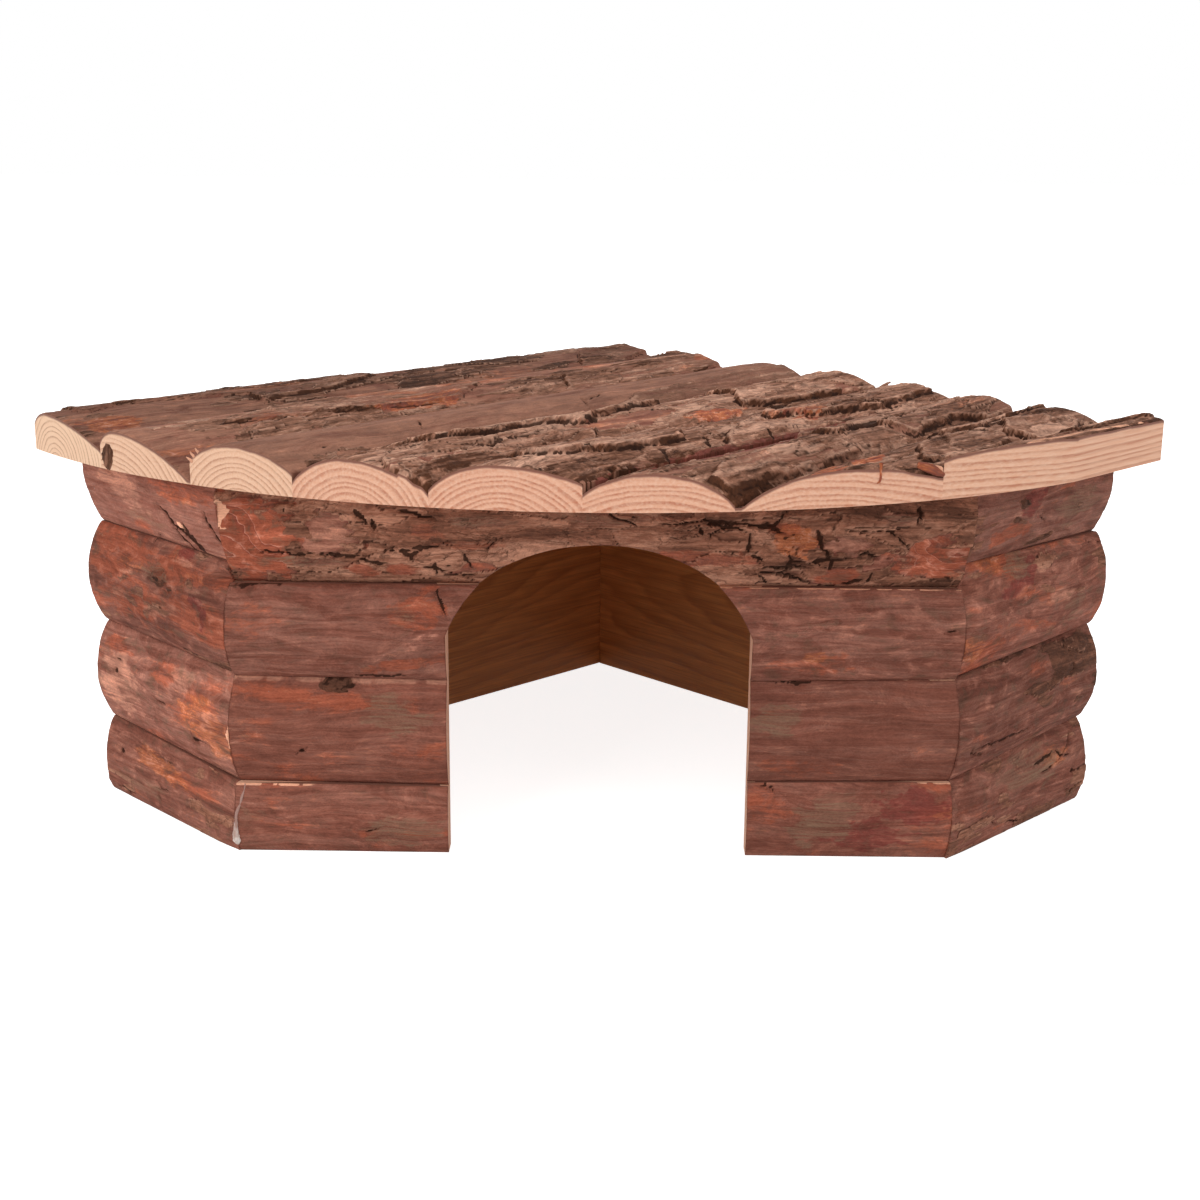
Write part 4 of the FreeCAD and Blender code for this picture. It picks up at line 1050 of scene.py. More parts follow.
def front_bark_out(height):
    """How far the front wall's round slabs stand out of its seam plane at its corners."""
    out = np.zeros(np.shape(height))
    for log, low, high in zip(FRONT_LOGS, FRONT_LEFT_SEAMS, FRONT_LEFT_SEAMS[1:]):
        crest = low.start + (high.start - low.start) * log.crest_at
        here = (height >= low.start) & (height <= high.start)
        out = np.where(here, round_out(log, crest, height), out)
    return out


def slab_surface(slab, along, height, sizes):
    """How far a slab's bark stands out of the seam plane, and its masks."""
    log = log_of(slab)
    low, high = (seam_height(seam, along, slab.wall) for seam in seams_of(slab))
    out = round_out(log, low + (high - low) * log.crest_at, height)
    relief, masks = bark_surface(along, height, slab.bark, slab.marks, sizes)
    edge = np.minimum(height - low, high - height)
    out = out + relief * (0.4 + 0.6 * ease(edge / 4)) - 0.35 * ease(1 - edge / 1.1)
    corner = np.minimum(along, WALLS["front"].length - along)
    if slab.wall == "front" and slab.row < 3:
        # The sawn upper edge stands a little proud near the house's corners.
        lip = np.exp(-corner / 24) * 0.7
        out = out + lip * ease((height - high + 7) / 7) * (1.0 if slab.row < 2 else 0.2)
    if slab.node in SAWN_EDGES:
        mask, reach, wide = SAWN_EDGES[slab.node]
        sawn = ease((wide - high + height) / 0.5) * (1 - ease(corner / reach - 0.5))
        sawn = sawn * ease(0.9 + 2.2 * rough(along / 8, 0 * along, slab.bark.seed + 95, 3))
        masks[mask] = np.maximum(masks[mask], sawn)
    if slab.wall != "front":
        # Beside the mitre, a side slab is no thicker than the front slab that it meets.
        over = np.maximum(out - front_bark_out(height) - 0.3, 0)
        out = out - over * np.exp(-((along / 7) ** 2))
    return np.maximum(out, -SLAB_EDGE + 1.5), masks


def bark_out(slab, along, height, sizes):
    """How far a slab's bark stands out of the seam plane at one place."""
    out, _ = slab_surface(slab, np.array([[along]]), np.array([[height]]), sizes)
    return float(out[0, 0])


def slab_rind(slab, along):
    """The bark's thickness on a slab's sawn faces, thinner by the front corners and in the arch."""
    if slab.wall != "front":
        return np.full(np.shape(along), WALL_RIND)
    from_corner = np.minimum(along, WALLS["front"].length - along)
    rind = WALL_RIND - 2.7 * np.exp(-((from_corner / 26) ** 2)) * (slab.row < 2)
    return np.where(np.abs(along - DOOR_CENTRE) < DOOR_HALF + 3, 0.8, rind)


def slab_grid(slab, pitch):
    """The heights of a slab's points, and where its outline starts and ends at each height."""
    wall = slab.wall
    span = {"left": (0.0, DOOR_CENTRE - DOOR_HALF), "whole": (0.0, WALLS[wall].length),
            "right": (DOOR_CENTRE + DOOR_HALF, WALLS[wall].length)}[slab.part]
    columns = round((span[1] - span[0]) / pitch) + 1
    rows = round(SLAB_ROWS_OVER / pitch) + 1
    share_along = np.linspace(0, 1, columns)[:, None]
    share_up = np.linspace(0, 1, rows)[None, :]
    along = span[0] + (span[1] - span[0]) * share_along + 0 * share_up
    for _ in range(3):
        low, high = (seam_height(seam, along, wall) for seam in seams_of(slab))
        if slab.node == "front_slab_top":
            low = np.maximum(low, arch_height(along))
        height = low + (high - low) * share_up
        start, end = span[0] + 0 * height, span[1] + 0 * height
        if slab.part == "left":
            end = DOOR_CENTRE - door_half_width(height)
        elif slab.part == "right":
            start = DOOR_CENTRE + door_half_width(height)
        along = start + (end - start) * share_along
    return share_along, start, end, height


def build_slab(slab, settings):
    """One slab of a wall."""
    share_along, start, end, height = slab_grid(slab, settings.sizes.bark_pitch / MM)
    along = start + (end - start) * share_along
    out, masks = slab_surface(slab, along, height, settings.sizes)
    log, seams = log_of(slab), seams_of(slab)
    rings = Rings((seams[0].start + seams[1].start) / 2, log.radius + SLAB_EDGE - log.crest,
                  WALL_RING_PITCH, WALL_WOOD_PINK)
    mitred_start = slab.part != "right"
    mitred_end = slab.wall == "front" and slab.part != "left"

    def side(out_of_plane):
        first = start - out_of_plane * MITRE if mitred_start else start
        last = end + out_of_plane * MITRE if mitred_end else end
        mitred = first + (last - first) * share_along
        log_place = in_log(mitred + slab.bark.seed * 31, height, out_of_plane, rings)
        return wall_point(slab.wall, mitred, out_of_plane, height), *log_place

    obj = half_log(
        f"{slab.node}_bark_and_wood", side(out), side(0 * out - SLAB_EDGE), masks,
        [finish_of("wall_bark", settings), finish_of("sawn_softwood", settings)],
        slab_rind(slab, along), ("low",) + ("first",) * mitred_start + ("last",) * mitred_end,
    )
    keep(obj, "wall_log", slab.node)


# ---- Materials ----
class Nodes:
    """Short calls that make the nodes of one material or world."""

    def __init__(self, owner):
        owner.use_nodes = True
        self.tree = owner.node_tree
        self.tree.nodes.clear()

    def add(self, kind, inputs=None, **settings):
        """One node, with its settings and its inputs: a value or another node's output each."""
        node = self.tree.nodes.new(kind)
        for key, value in settings.items():
            setattr(node, key, value)
        for key, value in (inputs or {}).items():
            self.put(node.inputs[key], value)
        return node

    def put(self, socket, value):
        """Links an output to a socket, or sets the socket's own value."""
        if isinstance(value, bpy.types.NodeSocket):
            self.tree.links.new(value, socket)
        elif socket.type == "RGBA" and len(value) == 3:
            socket.default_value = (*value, 1.0)
        else:
            socket.default_value = value

    def stored(self, name, output="Vector"):
        """A vector, or with Fac a number, kept on the mesh."""
        return self.add("ShaderNodeAttribute", attribute_name=name).outputs[output]

    def parts(self, vector):
        """The three numbers of a vector."""
        return self.add("ShaderNodeSeparateXYZ", {0: vector}).outputs

    def joined(self, x, y=0.0, z=0.0):
        """A vector of three numbers."""
        return self.add("ShaderNodeCombineXYZ", {0: x, 1: y, 2: z}).outputs[0]

    def reckon(self, operation, a, b=0.0, c=0.0, clamp=False):
        """The result of one arithmetic step."""
        node = self.add("ShaderNodeMath", {0: a, 1: b, 2: c}, operation=operation, use_clamp=clamp)
        return node.outputs[0]

    def plus(self, a, b):
        """The sum of two numbers."""
        return self.reckon("ADD", a, b)

    def times(self, a, b):
        """The product of two numbers."""
        return self.reckon("MULTIPLY", a, b)

    def scaled(self, vector, factors):
        """A vector with its three numbers scaled."""
        node = self.add("ShaderNodeVectorMath", {0: vector, 1: factors}, operation="MULTIPLY")
        return node.outputs[0]

    def radius(self, x, y):
        """The distance from the middle, from two numbers measured from it."""
        return self.reckon("SQRT", self.plus(self.times(x, x), self.times(y, y)))

    def millimetres(self):
        """The place on the piece in mm."""
        return self.scaled(self.add("ShaderNodeTexCoord").outputs["Object"], (1 / MM,) * 3)

    def noise(self, vector, size, detail=3.0, roughness=0.55, distortion=0.0):
        """Noise whose features are about that many mm in each direction."""
        node = self.add(
            "ShaderNodeTexNoise",
            {"Vector": self.scaled(vector, [1 / s for s in size]), "Scale": 1.0,
             "Detail": detail, "Roughness": roughness, "Distortion": distortion},
        )
        return node.outputs["Fac"]

    def fit(self, value, low, high, to_low=0.0, to_high=1.0, smooth=False):
        """A value moved from one range to another, and kept inside it."""
        node = self.add(
            "ShaderNodeMapRange",
            {"Value": value, "From Min": low, "From Max": high, "To Min": to_low, "To Max": to_high},
            interpolation_type="SMOOTHSTEP" if smooth else "LINEAR",
        )
        return node.outputs[0]

    def mix(self, share, a, b, blend="MIX"):
        """Two colours mixed."""
        node = self.add("ShaderNodeMix", data_type="RGBA", blend_type=blend)
        self.put(node.inputs[0], share)
        self.put(node.inputs[6], a)
        self.put(node.inputs[7], b)
        return node.outputs[2]

    def ramp(self, value, stops):
        """A colour ramp through the stops, each a place and a colour."""
        node = self.add("ShaderNodeValToRGB", {0: value})
        elements = node.color_ramp.elements
        for place, shade in stops[2:]:
            elements.new(place)
        for element, (place, shade) in zip(elements, stops):
            element.position = place
            element.color = (*shade, 1.0)
        return node.outputs[0]

    def greys(self, value, *stops):
        """A ramp of greys through the stops, each a place and a level."""
        return self.ramp(value, [(place, (level,) * 3) for place, level in stops])

    def surface(self, inputs, height, distance, strength):
        """The shader and the output, with a bump from height over a distance in metres."""
        bump = self.add(
            "ShaderNodeBump", {"Height": height, "Distance": distance, "Strength": strength}
        )
        shader = self.add("ShaderNodeBsdfPrincipled", {**inputs, "Normal": bump.outputs[0]})
        self.add("ShaderNodeOutputMaterial", {"Surface": shader.outputs[0]})


class BarkNodes(Nodes):
    """Short calls for bark, whose noises run along the grain and whose patches have torn borders."""

    def __init__(self, owner):
        super().__init__(owner)
        self.grain = grain = self.stored("bark_5")
        self.fibre = self.noise(grain, (22, 0.8, 1.4), 4, 0.6, 0.3)
        self.streak = self.noise(grain, (46, 2.6, 5.0), 5, 0.65, 0.6)
        self.mottle = self.noise(grain, (17, 6, 8), 5, 0.62, 0.9)
        self.fine = self.noise(grain, (3.4, 1.4, 2.0), 4, 0.65, 0.4)
        self.speck = self.noise(grain, (0.9, 0.5, 0.9), 2, 0.6)
        self.blotch = self.noise(grain, (7, 4.5, 5), 4, 0.62, 0.3)
        self.ragged = self.blend((self.streak, 0.35), (self.mottle, 0.3), (self.fine, 0.35))

    def blend(self, *terms):
        """A weighted sum of noises, less its middle."""
        total = -sum(weight for _, weight in terms) / 2
        for value, weight in terms:
            total = self.reckon("MULTIPLY_ADD", value, weight, total)
        return total

    def torn(self, mask, reach, softness):
        """A mask with a torn border."""
        moved = self.reckon("MULTIPLY_ADD", self.ragged, reach, mask)
        return self.fit(moved, 0.5 - softness, 0.5 + softness, smooth=True)

    def patch(self, base, colour, mask, reach, softness, amount):
        """A colour laid over the base where a torn mask is."""
        return self.mix(self.times(self.torn(mask, reach, softness), amount), base, colour)


def inner_bark(n, colours, roof, fresh_barks, masks):
    """Shaved inner bark: bands of different tone, contour lines between them, and patches."""
    peel, line, grey, red, orange, blush, pale = masks
    red_bark, orange_bark = fresh_barks
    wobble = n.noise(n.grain, (15, 6, 9), 4, 0.55)
    level = n.reckon("MULTIPLY_ADD", peel, 7.5, n.times(wobble, 0.7))
    band = n.add("ShaderNodeTexWhiteNoise", {"W": n.reckon("FLOOR", level)}, noise_dimensions="1D")
    band_tone = n.times(n.reckon("SUBTRACT", band.outputs[0], 0.5), n.fit(line, 0.0, 1.0, 0.15, 0.6))
    lively = n.fit(line, 0.0, 0.5, 0.85, 1.9)

    tone = n.plus(n.plus(grey, band_tone), n.blend((n.streak, 2.6), (n.mottle, 1.4)))
    grey_bark = colours.roof_inner if roof else colours.mauve
    inner = n.mix(n.fit(tone, 0.0, 0.9), colours.brown, grey_bark)
    reddened = n.reckon("MULTIPLY_ADD", band_tone, 0.6, red)
    inner = n.patch(inner, red_bark, reddened, 3.2, 0.3, 0.8)
    inner = n.patch(inner, orange_bark, orange, 3.4, 0.4, 0.65)
    inner = n.patch(inner, colours.blush, blush, 2.5, 0.2, 0.8)
    inner = n.patch(inner, colours.pale, pale, 3.0, 0.4, 0.65)
    variation = n.times(n.blend((n.mottle, 0.8), (n.streak, 1.4), (n.blotch, 1.2)), lively)
    light_dark = n.fit(n.plus(variation, band_tone), -0.6, 0.6, 0.0, 1.0)
    spotted = n.times(n.fit(n.blotch, 0.55, 0.68), n.fit(line, 0.1, 0.6, 0.0, 0.45))
    inner = n.mix(spotted, inner, colours.line)
    mouldy = n.times(n.fit(n.blotch, 0.45, 0.35), n.fit(line, 0.1, 0.4, 0.0, 0.55))
    inner = n.mix(mouldy, inner, colours.lichen)
    inner = n.mix(1.0, inner, n.ramp(light_dark, [(0.0, (0.62, 0.60, 0.60)), (0.5, (1, 1, 1)),
                                                  (1.0, (1.36, 1.34, 1.3))]), "MULTIPLY")

    fraction = n.reckon("FRACT", level)
    contour = n.fit(fraction, 0.0, 0.10, 1.0, 0.0, smooth=True)
    shown = n.fit(n.reckon("MULTIPLY_ADD", n.ragged, 3.5, line), 0.45, 1.1)
    under = n.times(n.fit(fraction, 0.8, 1.0, 0.0, 0.55, smooth=True), shown)
    inner = n.mix(under, inner, colours.blush)
    return n.mix(n.times(n.times(contour, shown), 0.75), inner, colours.line)


def fine_bark_cracks(n, weathered):
    """The fine cracks of weathered bark, many of them across the grain."""
    bent = n.add(
        "ShaderNodeVectorMath",
        {0: n.scaled(n.grain, (1 / 8, 1 / 4.5, 1 / 6)), 1: n.joined(n.times(n.fine, 1.2), n.mottle)},
        operation="ADD",
    )
    net = n.add("ShaderNodeTexVoronoi", {"Vector": bent.outputs[0], "Scale": 1.0},
                feature="DISTANCE_TO_EDGE").outputs[0]
    net = n.times(n.fit(net, 0.0, 0.05, 1.0, 0.0), n.fit(n.mottle, 0.45, 0.62))
    across_grain = n.fit(n.noise(n.grain, (2.2, 11, 8), 3, 0.6, 0.8), 0.66, 0.73)
    return n.times(n.reckon("MAXIMUM", net, n.times(across_grain, 0.6)), weathered)


def bark_finish(owner, colours, roof):
    """Bark: shaved inner bark with contour lines, weathered crust, cracks and patches."""
    n = BarkNodes(owner)
    crust, crack, red = n.parts(n.stored("bark_0"))
    lichen, peel, raw = n.parts(n.stored("bark_1"))
    orange, blush, pale = n.parts(n.stored("bark_2"))
    line, grey, flake = n.parts(n.stored("bark_3"))
    edge, shadow, dust_and_painted_light = n.parts(n.stored("bark_4"))

    torn_open = n.plus(n.blend((n.fine, 1.8), (n.streak, 1.6), (n.blotch, 1.2)), 0.5)
    fresh = n.ramp(torn_open, [(0.05, colours.blush), (0.40, colours.red), (0.62, colours.orange),
                               (0.9, colours.line)])
    red_bark = fresh if roof else colours.red
    orange_bark = fresh if roof else n.mix(0.6, colours.orange, fresh)
    inner = inner_bark(n, colours, roof, (red_bark, orange_bark),
                       (peel, line, grey, red, orange, blush, pale))

    dark, middle, light = (
        (colours.roof_dark, colours.roof_middle, colours.roof_light) if roof
        else (colours.wall_dark, colours.wall_middle, colours.wall_light)
    )
    # The piece's brightness mask also shifts the weather ramp a little, so its painted light and shade reach
    # the crust's colour.
    weather = n.plus(flake, n.blend((n.fine, 0.6), (n.streak, 1.1), (n.mottle, 0.7)))
    weather = n.reckon("MULTIPLY_ADD", dust_and_painted_light, 0.12, n.plus(weather, 0.5))
    outer = n.ramp(weather, [(0.2, dark), (0.48, middle), (0.78, light)])
    outer = n.patch(outer, orange_bark, orange, 2.4, 0.25, 0.75)
    outer = n.patch(outer, red_bark, red, 3.2, 0.3, 0.6)
    base = n.mix(n.torn(crust, 1.6, 0.12), inner, outer)
    mossy = n.mix(n.fit(n.fibre, 0.35, 0.65), inner, colours.lichen)
    base = n.mix(n.torn(lichen, 2.6, 0.25), base, mossy)
    base = n.mix(n.torn(raw, 1.0, 0.05), base, colours.wood_pink)

    weathered = n.torn(crust, 2.6, 0.2)
    fine_cracks = fine_bark_cracks(n, weathered)
    shade = n.plus(n.times(n.fibre, 0.55), n.times(n.speck, 0.45))
    low, high = (0.70, 1.22) if roof else (0.62, 1.27)
    base = n.mix(1.0, base, n.greys(shade, (0.3, low), (0.7, high)), "MULTIPLY")
    grit = n.noise(n.grain, (6, 1.7, 2.2), 4, 0.62, 0.5)
    base = n.mix(n.times(weathered, 0.9 if roof else 0.4), base,
                 n.greys(grit, (0.36, 0.66), (0.64, 1.3)), "MULTIPLY")
    # Each piece's brightness: dusty patches, with painted light and shade for the piece and in its sunny and
    # gloomy marks.
    piece = n.fit(dust_and_painted_light, -1.0, 1.6, 0.72, 1.475)
    base = n.mix(1.0, base, n.joined(piece, piece, piece), "MULTIPLY")
    # Painted highlight on the lit edges of higher flakes, and painted shadow in the crack colour on the lower
    # flakes beside them.
    base = n.patch(base, light, edge, 1.5, 0.3, 0.55)
    base = n.patch(base, colours.crack, shadow, 1.5, 0.3, 0.85)
    base = n.mix(n.times(fine_cracks, 0.5), base, colours.crack)
    base = n.patch(base, colours.crack, crack, 0.7, 0.16, 0.88)

    height = n.plus(n.times(n.fine, 0.8), n.times(n.fibre, 0.7))
    height = n.plus(height, n.times(n.speck, 0.35))
    height = n.plus(height, n.times(weathered, 0.5))
    height = n.reckon("SUBTRACT", height, n.times(fine_cracks, 0.8))
    n.surface(
        {"Base Color": base, "Roughness": n.fit(n.fine, 0.3, 0.7, 0.72, 0.95),
         "Specular IOR Level": 0.12},
        height, 0.0007, 0.75,
    )


def wood_finish(owner, colours):
    """Sawn softwood with annual rings, and the bark's thin edge around it."""
    n = Nodes(owner)
    grain = n.stored("grain")
    x, y, pink = n.parts(n.stored("rings"))
    depth, rind = n.stored("depth", "Fac"), n.stored("rind", "Fac")
    wander = n.noise(grain, (60, 9, 9), 3, 0.5)
    fine = n.noise(grain, (14, 0.7, 0.7), 3, 0.6)
    mottle = n.noise(grain, (30, 5, 5), 3, 0.5)
    radius = n.plus(n.radius(x, y), n.times(wander, 0.9))
    uneven = n.reckon("SINE", n.times(radius, 1.7))
    place = n.reckon("FRACT", n.plus(radius, n.times(uneven, 0.16)))
    broad = n.greys(place, (0.0, 0.0), (0.35, 0.1), (0.68, 0.95), (0.88, 0.95), (1.0, 0.0))
    thin = n.greys(place, (0.0, 0.0), (0.6, 0.08), (0.84, 0.95), (0.92, 0.9), (1.0, 0.0))
    late = n.mix(pink, thin, broad)
    early = n.mix(pink, colours.wood_grey, colours.wood_pink)
    ring = n.mix(pink, colours.ring_grey, colours.ring_pink)
    strength = n.fit(mottle, 0.3, 0.7, 0.6, 1.0)
    strength = n.times(strength, n.fit(depth, 0.8, 4.0, 0.25, 1.0))
    base = n.mix(n.times(late, strength), early, ring)
    base = n.mix(n.fit(fine, 0.35, 0.75, 0.0, 0.35), base, (0.93, 0.72, 0.55))
    under_rind = n.reckon("SUBTRACT", n.plus(depth, n.times(mottle, 0.8)), rind)
    base = n.mix(n.fit(under_rind, 0.0, 0.7, 0.9, 0.0), base, colours.bast)
    n.surface(
        {"Base Color": base, "Roughness": n.fit(fine, 0.3, 0.7, 0.6, 0.8),
         "Specular IOR Level": 0.3},
        n.plus(n.times(fine, 0.8), n.times(late, 0.3)), 0.0003, 0.6,
    )


def board_finish(owner, colours):
    """Planed softwood of the rear boards, with the grain flowing along them."""
    n = Nodes(owner)
    grain = n.stored("grain")
    x, y, drift = n.parts(n.stored("rings"))
    wander = n.noise(grain, (120, 26, 26), 3, 0.5, 0.4)
    fine = n.noise(grain, (30, 0.8, 0.8), 4, 0.6)
    pores = n.noise(grain, (9, 0.5, 0.5), 2, 0.5)
    mottle = n.noise(grain, (70, 16, 16), 3, 0.5)
    radius = n.plus(n.radius(x, y), n.times(wander, 4.5))
    place = n.reckon("FRACT", n.plus(radius, drift))
    late = n.greys(place, (0.0, 0.0), (0.3, 0.1), (0.85, 0.85), (1.0, 0.0))
    base = n.mix(n.times(late, n.fit(mottle, 0.3, 0.7, 0.4, 0.9)), colours.board,
                 colours.board_ring)
    base = n.mix(n.fit(fine, 0.35, 0.65, 0.0, 0.6), base, colours.board_ring)
    n.surface(
        {"Base Color": base, "Roughness": n.fit(pores, 0.3, 0.7, 0.48, 0.65),
         "Specular IOR Level": 0.35},
        n.plus(n.times(pores, 0.5), n.times(late, 0.4)), 0.0002, 0.5,
    )


def steel_finish(owner, colours):
    """Dull galvanised wire."""
    n = Nodes(owner)
    dull = n.noise(n.millimetres(), (0.7, 0.7, 0.7), 3)
    base = n.mix(n.fit(dull, 0.4, 0.7), colours.steel, linear("6f665f"))
    n.surface(
        {"Base Color": base, "Metallic": 1.0, "Roughness": n.fit(dull, 0.3, 0.7, 0.3, 0.6)},
        dull, 0.0001, 0.4,
    )


def glue_finish(owner, colours):
    """Dried wood glue, slightly cloudy, and so thin higher up that the bark shows through."""
    n = Nodes(owner)
    place = n.millimetres()
    cloud = n.noise(place, (2.0, 2.0, 2.0), 3)
    base = n.mix(n.fit(cloud, 0.35, 0.65), colours.glue, linear("b5988a"))
    thin = n.fit(n.reckon("MULTIPLY_ADD", cloud, 5.0, n.parts(place)[2]), 8.5, 14.0, 0.0, 0.85)
    base = n.mix(thin, base, linear("96695c"))
    n.surface(
        {"Base Color": base, "Roughness": n.fit(cloud, 0.3, 0.7, 0.25, 0.4),
         "Subsurface Weight": 0.3, "Subsurface Radius": (0.002, 0.0015, 0.001)},
        cloud, 0.0003, 0.4,
    )


# Each material's name, the function that makes it, and what that function needs besides.
FINISHES = {
    "roof_bark": (bark_finish, True), "wall_bark": (bark_finish, False),
    "sawn_softwood": (wood_finish,), "planed_board": (board_finish,),
    "brad_steel": (steel_finish,), "dried_glue": (glue_finish,),
}


def finish_of(name, settings):
    """The material of that name, made when a piece first needs it."""
    if name not in bpy.data.materials:
        make, *more = FINISHES[name]
        make(bpy.data.materials.new(name), settings.colours, *more)
    return bpy.data.materials[name]


# ---- Rear boards, posts and battens ----
# Where the log's middle lies from a straight piece's own middle, the ring spacing, and how far
# along the grain the rings of a planed board drift by one.
Core = namedtuple("Core", "sideways upwards pitch drift")
INSIDE_LOG = 9.0  # the depth stored on sawn pieces, so deep that no bark edge shows
GRAIN_APART = 40  # how far apart the grain of differently named pieces is taken


def sawn_piece(name, plan, heights, way, material, core, rounding):
    """A straight sawn piece over a plan in mm, with slightly rounded edges. way is its grain's."""
    work = bmesh.new()
    low, high = ([work.verts.new((x * MM, y * MM, z * MM)) for x, y in plan] for z in heights)
    work.faces.new(low[::-1])
    work.faces.new(high)
    for i in range(len(plan)):
        j = (i + 1) % len(plan)
        work.faces.new((low[i], low[j], high[j], high[i]))
    bmesh.ops.recalc_face_normals(work, faces=work.faces)
    bmesh.ops.bevel(work, geom=list(work.edges), offset=rounding, segments=2, profile=0.6,
                    affect="EDGES")
    mesh = mesh_from(work, name)
    mesh.materials.append(material)
    points = np.array([v.co[:] for v in mesh.vertices]) / MM
    way = Vector(way).normalized()
    side = Vector((0, 0, 1)).cross(way)
    side = side.normalized() if side.length > 0.1 else Vector((1, 0, 0))
    offset = points - (points.max(0) + points.min(0)) / 2
    along, sideways, upwards = (offset @ np.array(axis[:]) for axis in (way, side, way.cross(side)))
    grain = np.stack([along + GRAIN_APART * len(name), upwards, sideways], -1)
    rings = np.stack([(sideways - core.sideways) / core.pitch, (upwards - core.upwards) / core.pitch,
                      along / core.drift], -1)
    store(mesh, "grain", grain, "FLOAT_VECTOR")
    store(mesh, "rings", rings, "FLOAT_VECTOR")
    store(mesh, "depth", np.full(len(points), INSIDE_LOG))
    return placed(name, mesh)


def rear_board_plan(side):
    """The plan of a rear board: -1 is the left one, which runs through to the rear corner."""
    along = np.array([-side * DIAGONAL, DIAGONAL])
    inward = np.array([-side * DIAGONAL, -DIAGONAL])
    start = np.array([side * SIDE_END_X, SIDE_END_Y]) + along * SLAB_EDGE
    end = np.array([0.0, REAR_CORNER_Y]) - along * (BOARD_THICKNESS if side > 0 else 0.0)
    return [start, end, end + inward * BOARD_THICKNESS, start + inward * BOARD_THICKNESS], along


def node_plan(node):
    """The plan, point by point round it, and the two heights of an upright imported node."""
    points = np.array([v.co[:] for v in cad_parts[node].data.vertices]) / MM
    low, high = points[:, 2].min(), points[:, 2].max()
    plan = np.unique(np.round(points[points[:, 2] < low + 0.01][:, :2], 2), axis=0)
    x, y = (plan - plan.mean(0)).T
    return plan[np.argsort(np.arctan2(y, x))], (low, high)


# ---- Brads ----
def slab_by_node(node):
    """The slab that stands for a node."""
    return next(slab for slab in SLABS if slab.node == node)


def brad_places(wall):
    """Where a wall's brads go: the slab, the place along the wall and the height."""
    places = []
    for along, part, rows in BRAD_LINES[wall]:
        for row, share in rows:
            whole = wall == "front" and row == 3
            slab = slab_by_node("front_slab_top" if whole else f"{wall}_{part}_slab_{ROWS[row]}")
            low, high = (seam_height(seam, along, wall) for seam in seams_of(slab))
            places.append((slab, along, low + (high - low) * share))
    return places


def add_brad(work, head, inward, sizes):
    """One brad in a mesh under construction: a small domed head, a round wire and a point."""
    inward, upward = Vector(inward).normalized(), Vector((0, 0, 1))
    sideways = inward.cross(upward)
    wire, half_head, tip = sizes.brad_wire / 2, sizes.brad_head / 2, sizes.brad_length
    outline = [(0.0, 0.0), *((half_head * share, depth) for share, depth in BRAD_HEAD),
               (wire, BRAD_NECK), (wire, tip - BRAD_POINT), (0.0, tip)]
    rings = []
    for radius, depth in outline:
        centre = Vector(head) * MM + inward * depth
        if radius == 0.0:
            rings.append([work.verts.new(centre)])
            continue
        turns = [2 * math.pi * k / ROUND_SIDES for k in range(ROUND_SIDES)]
        rings.append([
            work.verts.new(centre + sideways * (radius * BRAD_FLATNESS * math.cos(turn))
                           + upward * (radius * math.sin(turn))) for turn in turns
        ])
    for one, two in zip(rings, rings[1:]):
        for k in range(ROUND_SIDES):
            m = (k + 1) % ROUND_SIDES
            corners = [one[k % len(one)], one[m % len(one)], two[m % len(two)], two[k % len(two)]]
            work.faces.new(list(dict.fromkeys(corners)))


def brads_object(name, places, settings):
    """All the brads of one wall in one piece, from their heads' places and their directions."""
    work = bmesh.new()
    for head, inward in places:
        add_brad(work, head, inward, settings.sizes)
    bmesh.ops.recalc_face_normals(work, faces=work.faces)
    mesh = mesh_from(work, name)
    mesh.materials.append(finish_of("brad_steel", settings))
    mesh.polygons.foreach_set("use_smooth", [True] * len(mesh.polygons))
    return placed(name, mesh)


# ---- Loose bits ----
def strand(name, stations, outward, material, seed, masks):
    """A closed strip through stations, each a point in mm, its half width and half thickness."""
    stations = np.array(stations, float)
    count, sides = len(stations), ROUND_SIDES
    steps = np.linspace(0, count - 1, 7 * count)
    dense = np.stack([np.interp(steps, range(count), column) for column in stations.T], -1)
    for _ in range(3):
        dense[1:-1] = (dense[:-2] + 2 * dense[1:-1] + dense[2:]) / 4
    way = np.gradient(dense[:, :3], axis=0)
    way /= np.linalg.norm(way, axis=1, keepdims=True)
    side = np.cross(way, outward)
    side /= np.linalg.norm(side, axis=1, keepdims=True)
    above = np.cross(side, way)
    turn = np.linspace(0, 2 * math.pi, sides, endpoint=False)[None, :]
    uneven = 1 + 0.3 * rough(*np.broadcast_arrays(steps[:, None] * 1.3, turn * 1.1), seed, 3)
    wide, thick = np.cos(turn) * dense[:, 3:4] * uneven, np.sin(turn) * dense[:, 4:5] * uneven
    points = dense[:, None, :3] + side[:, None] * wide[..., None] + above[:, None] * thick[..., None]
    number = np.arange(points.shape[0] * sides).reshape(-1, sides)
    after = np.roll(number, -1, 1)
    skin = np.stack([number[:-1], after[:-1], after[1:], number[1:]], -1).reshape(-1, 4)
    faces = [list(face) for face in skin] + [list(number[0]), list(number[-1][::-1])]
    flow = {"flow_along": steps.repeat(sides) * 2.0 + 50 * seed, "flow_across": wide.ravel(),
            "flow_depth": thick.ravel()}
    attributes = in_threes({**masks, **flow}, number.size) if masks else {}
    return finished(name, points.reshape(-1, 3), faces, [0] * len(faces), [material], attributes)


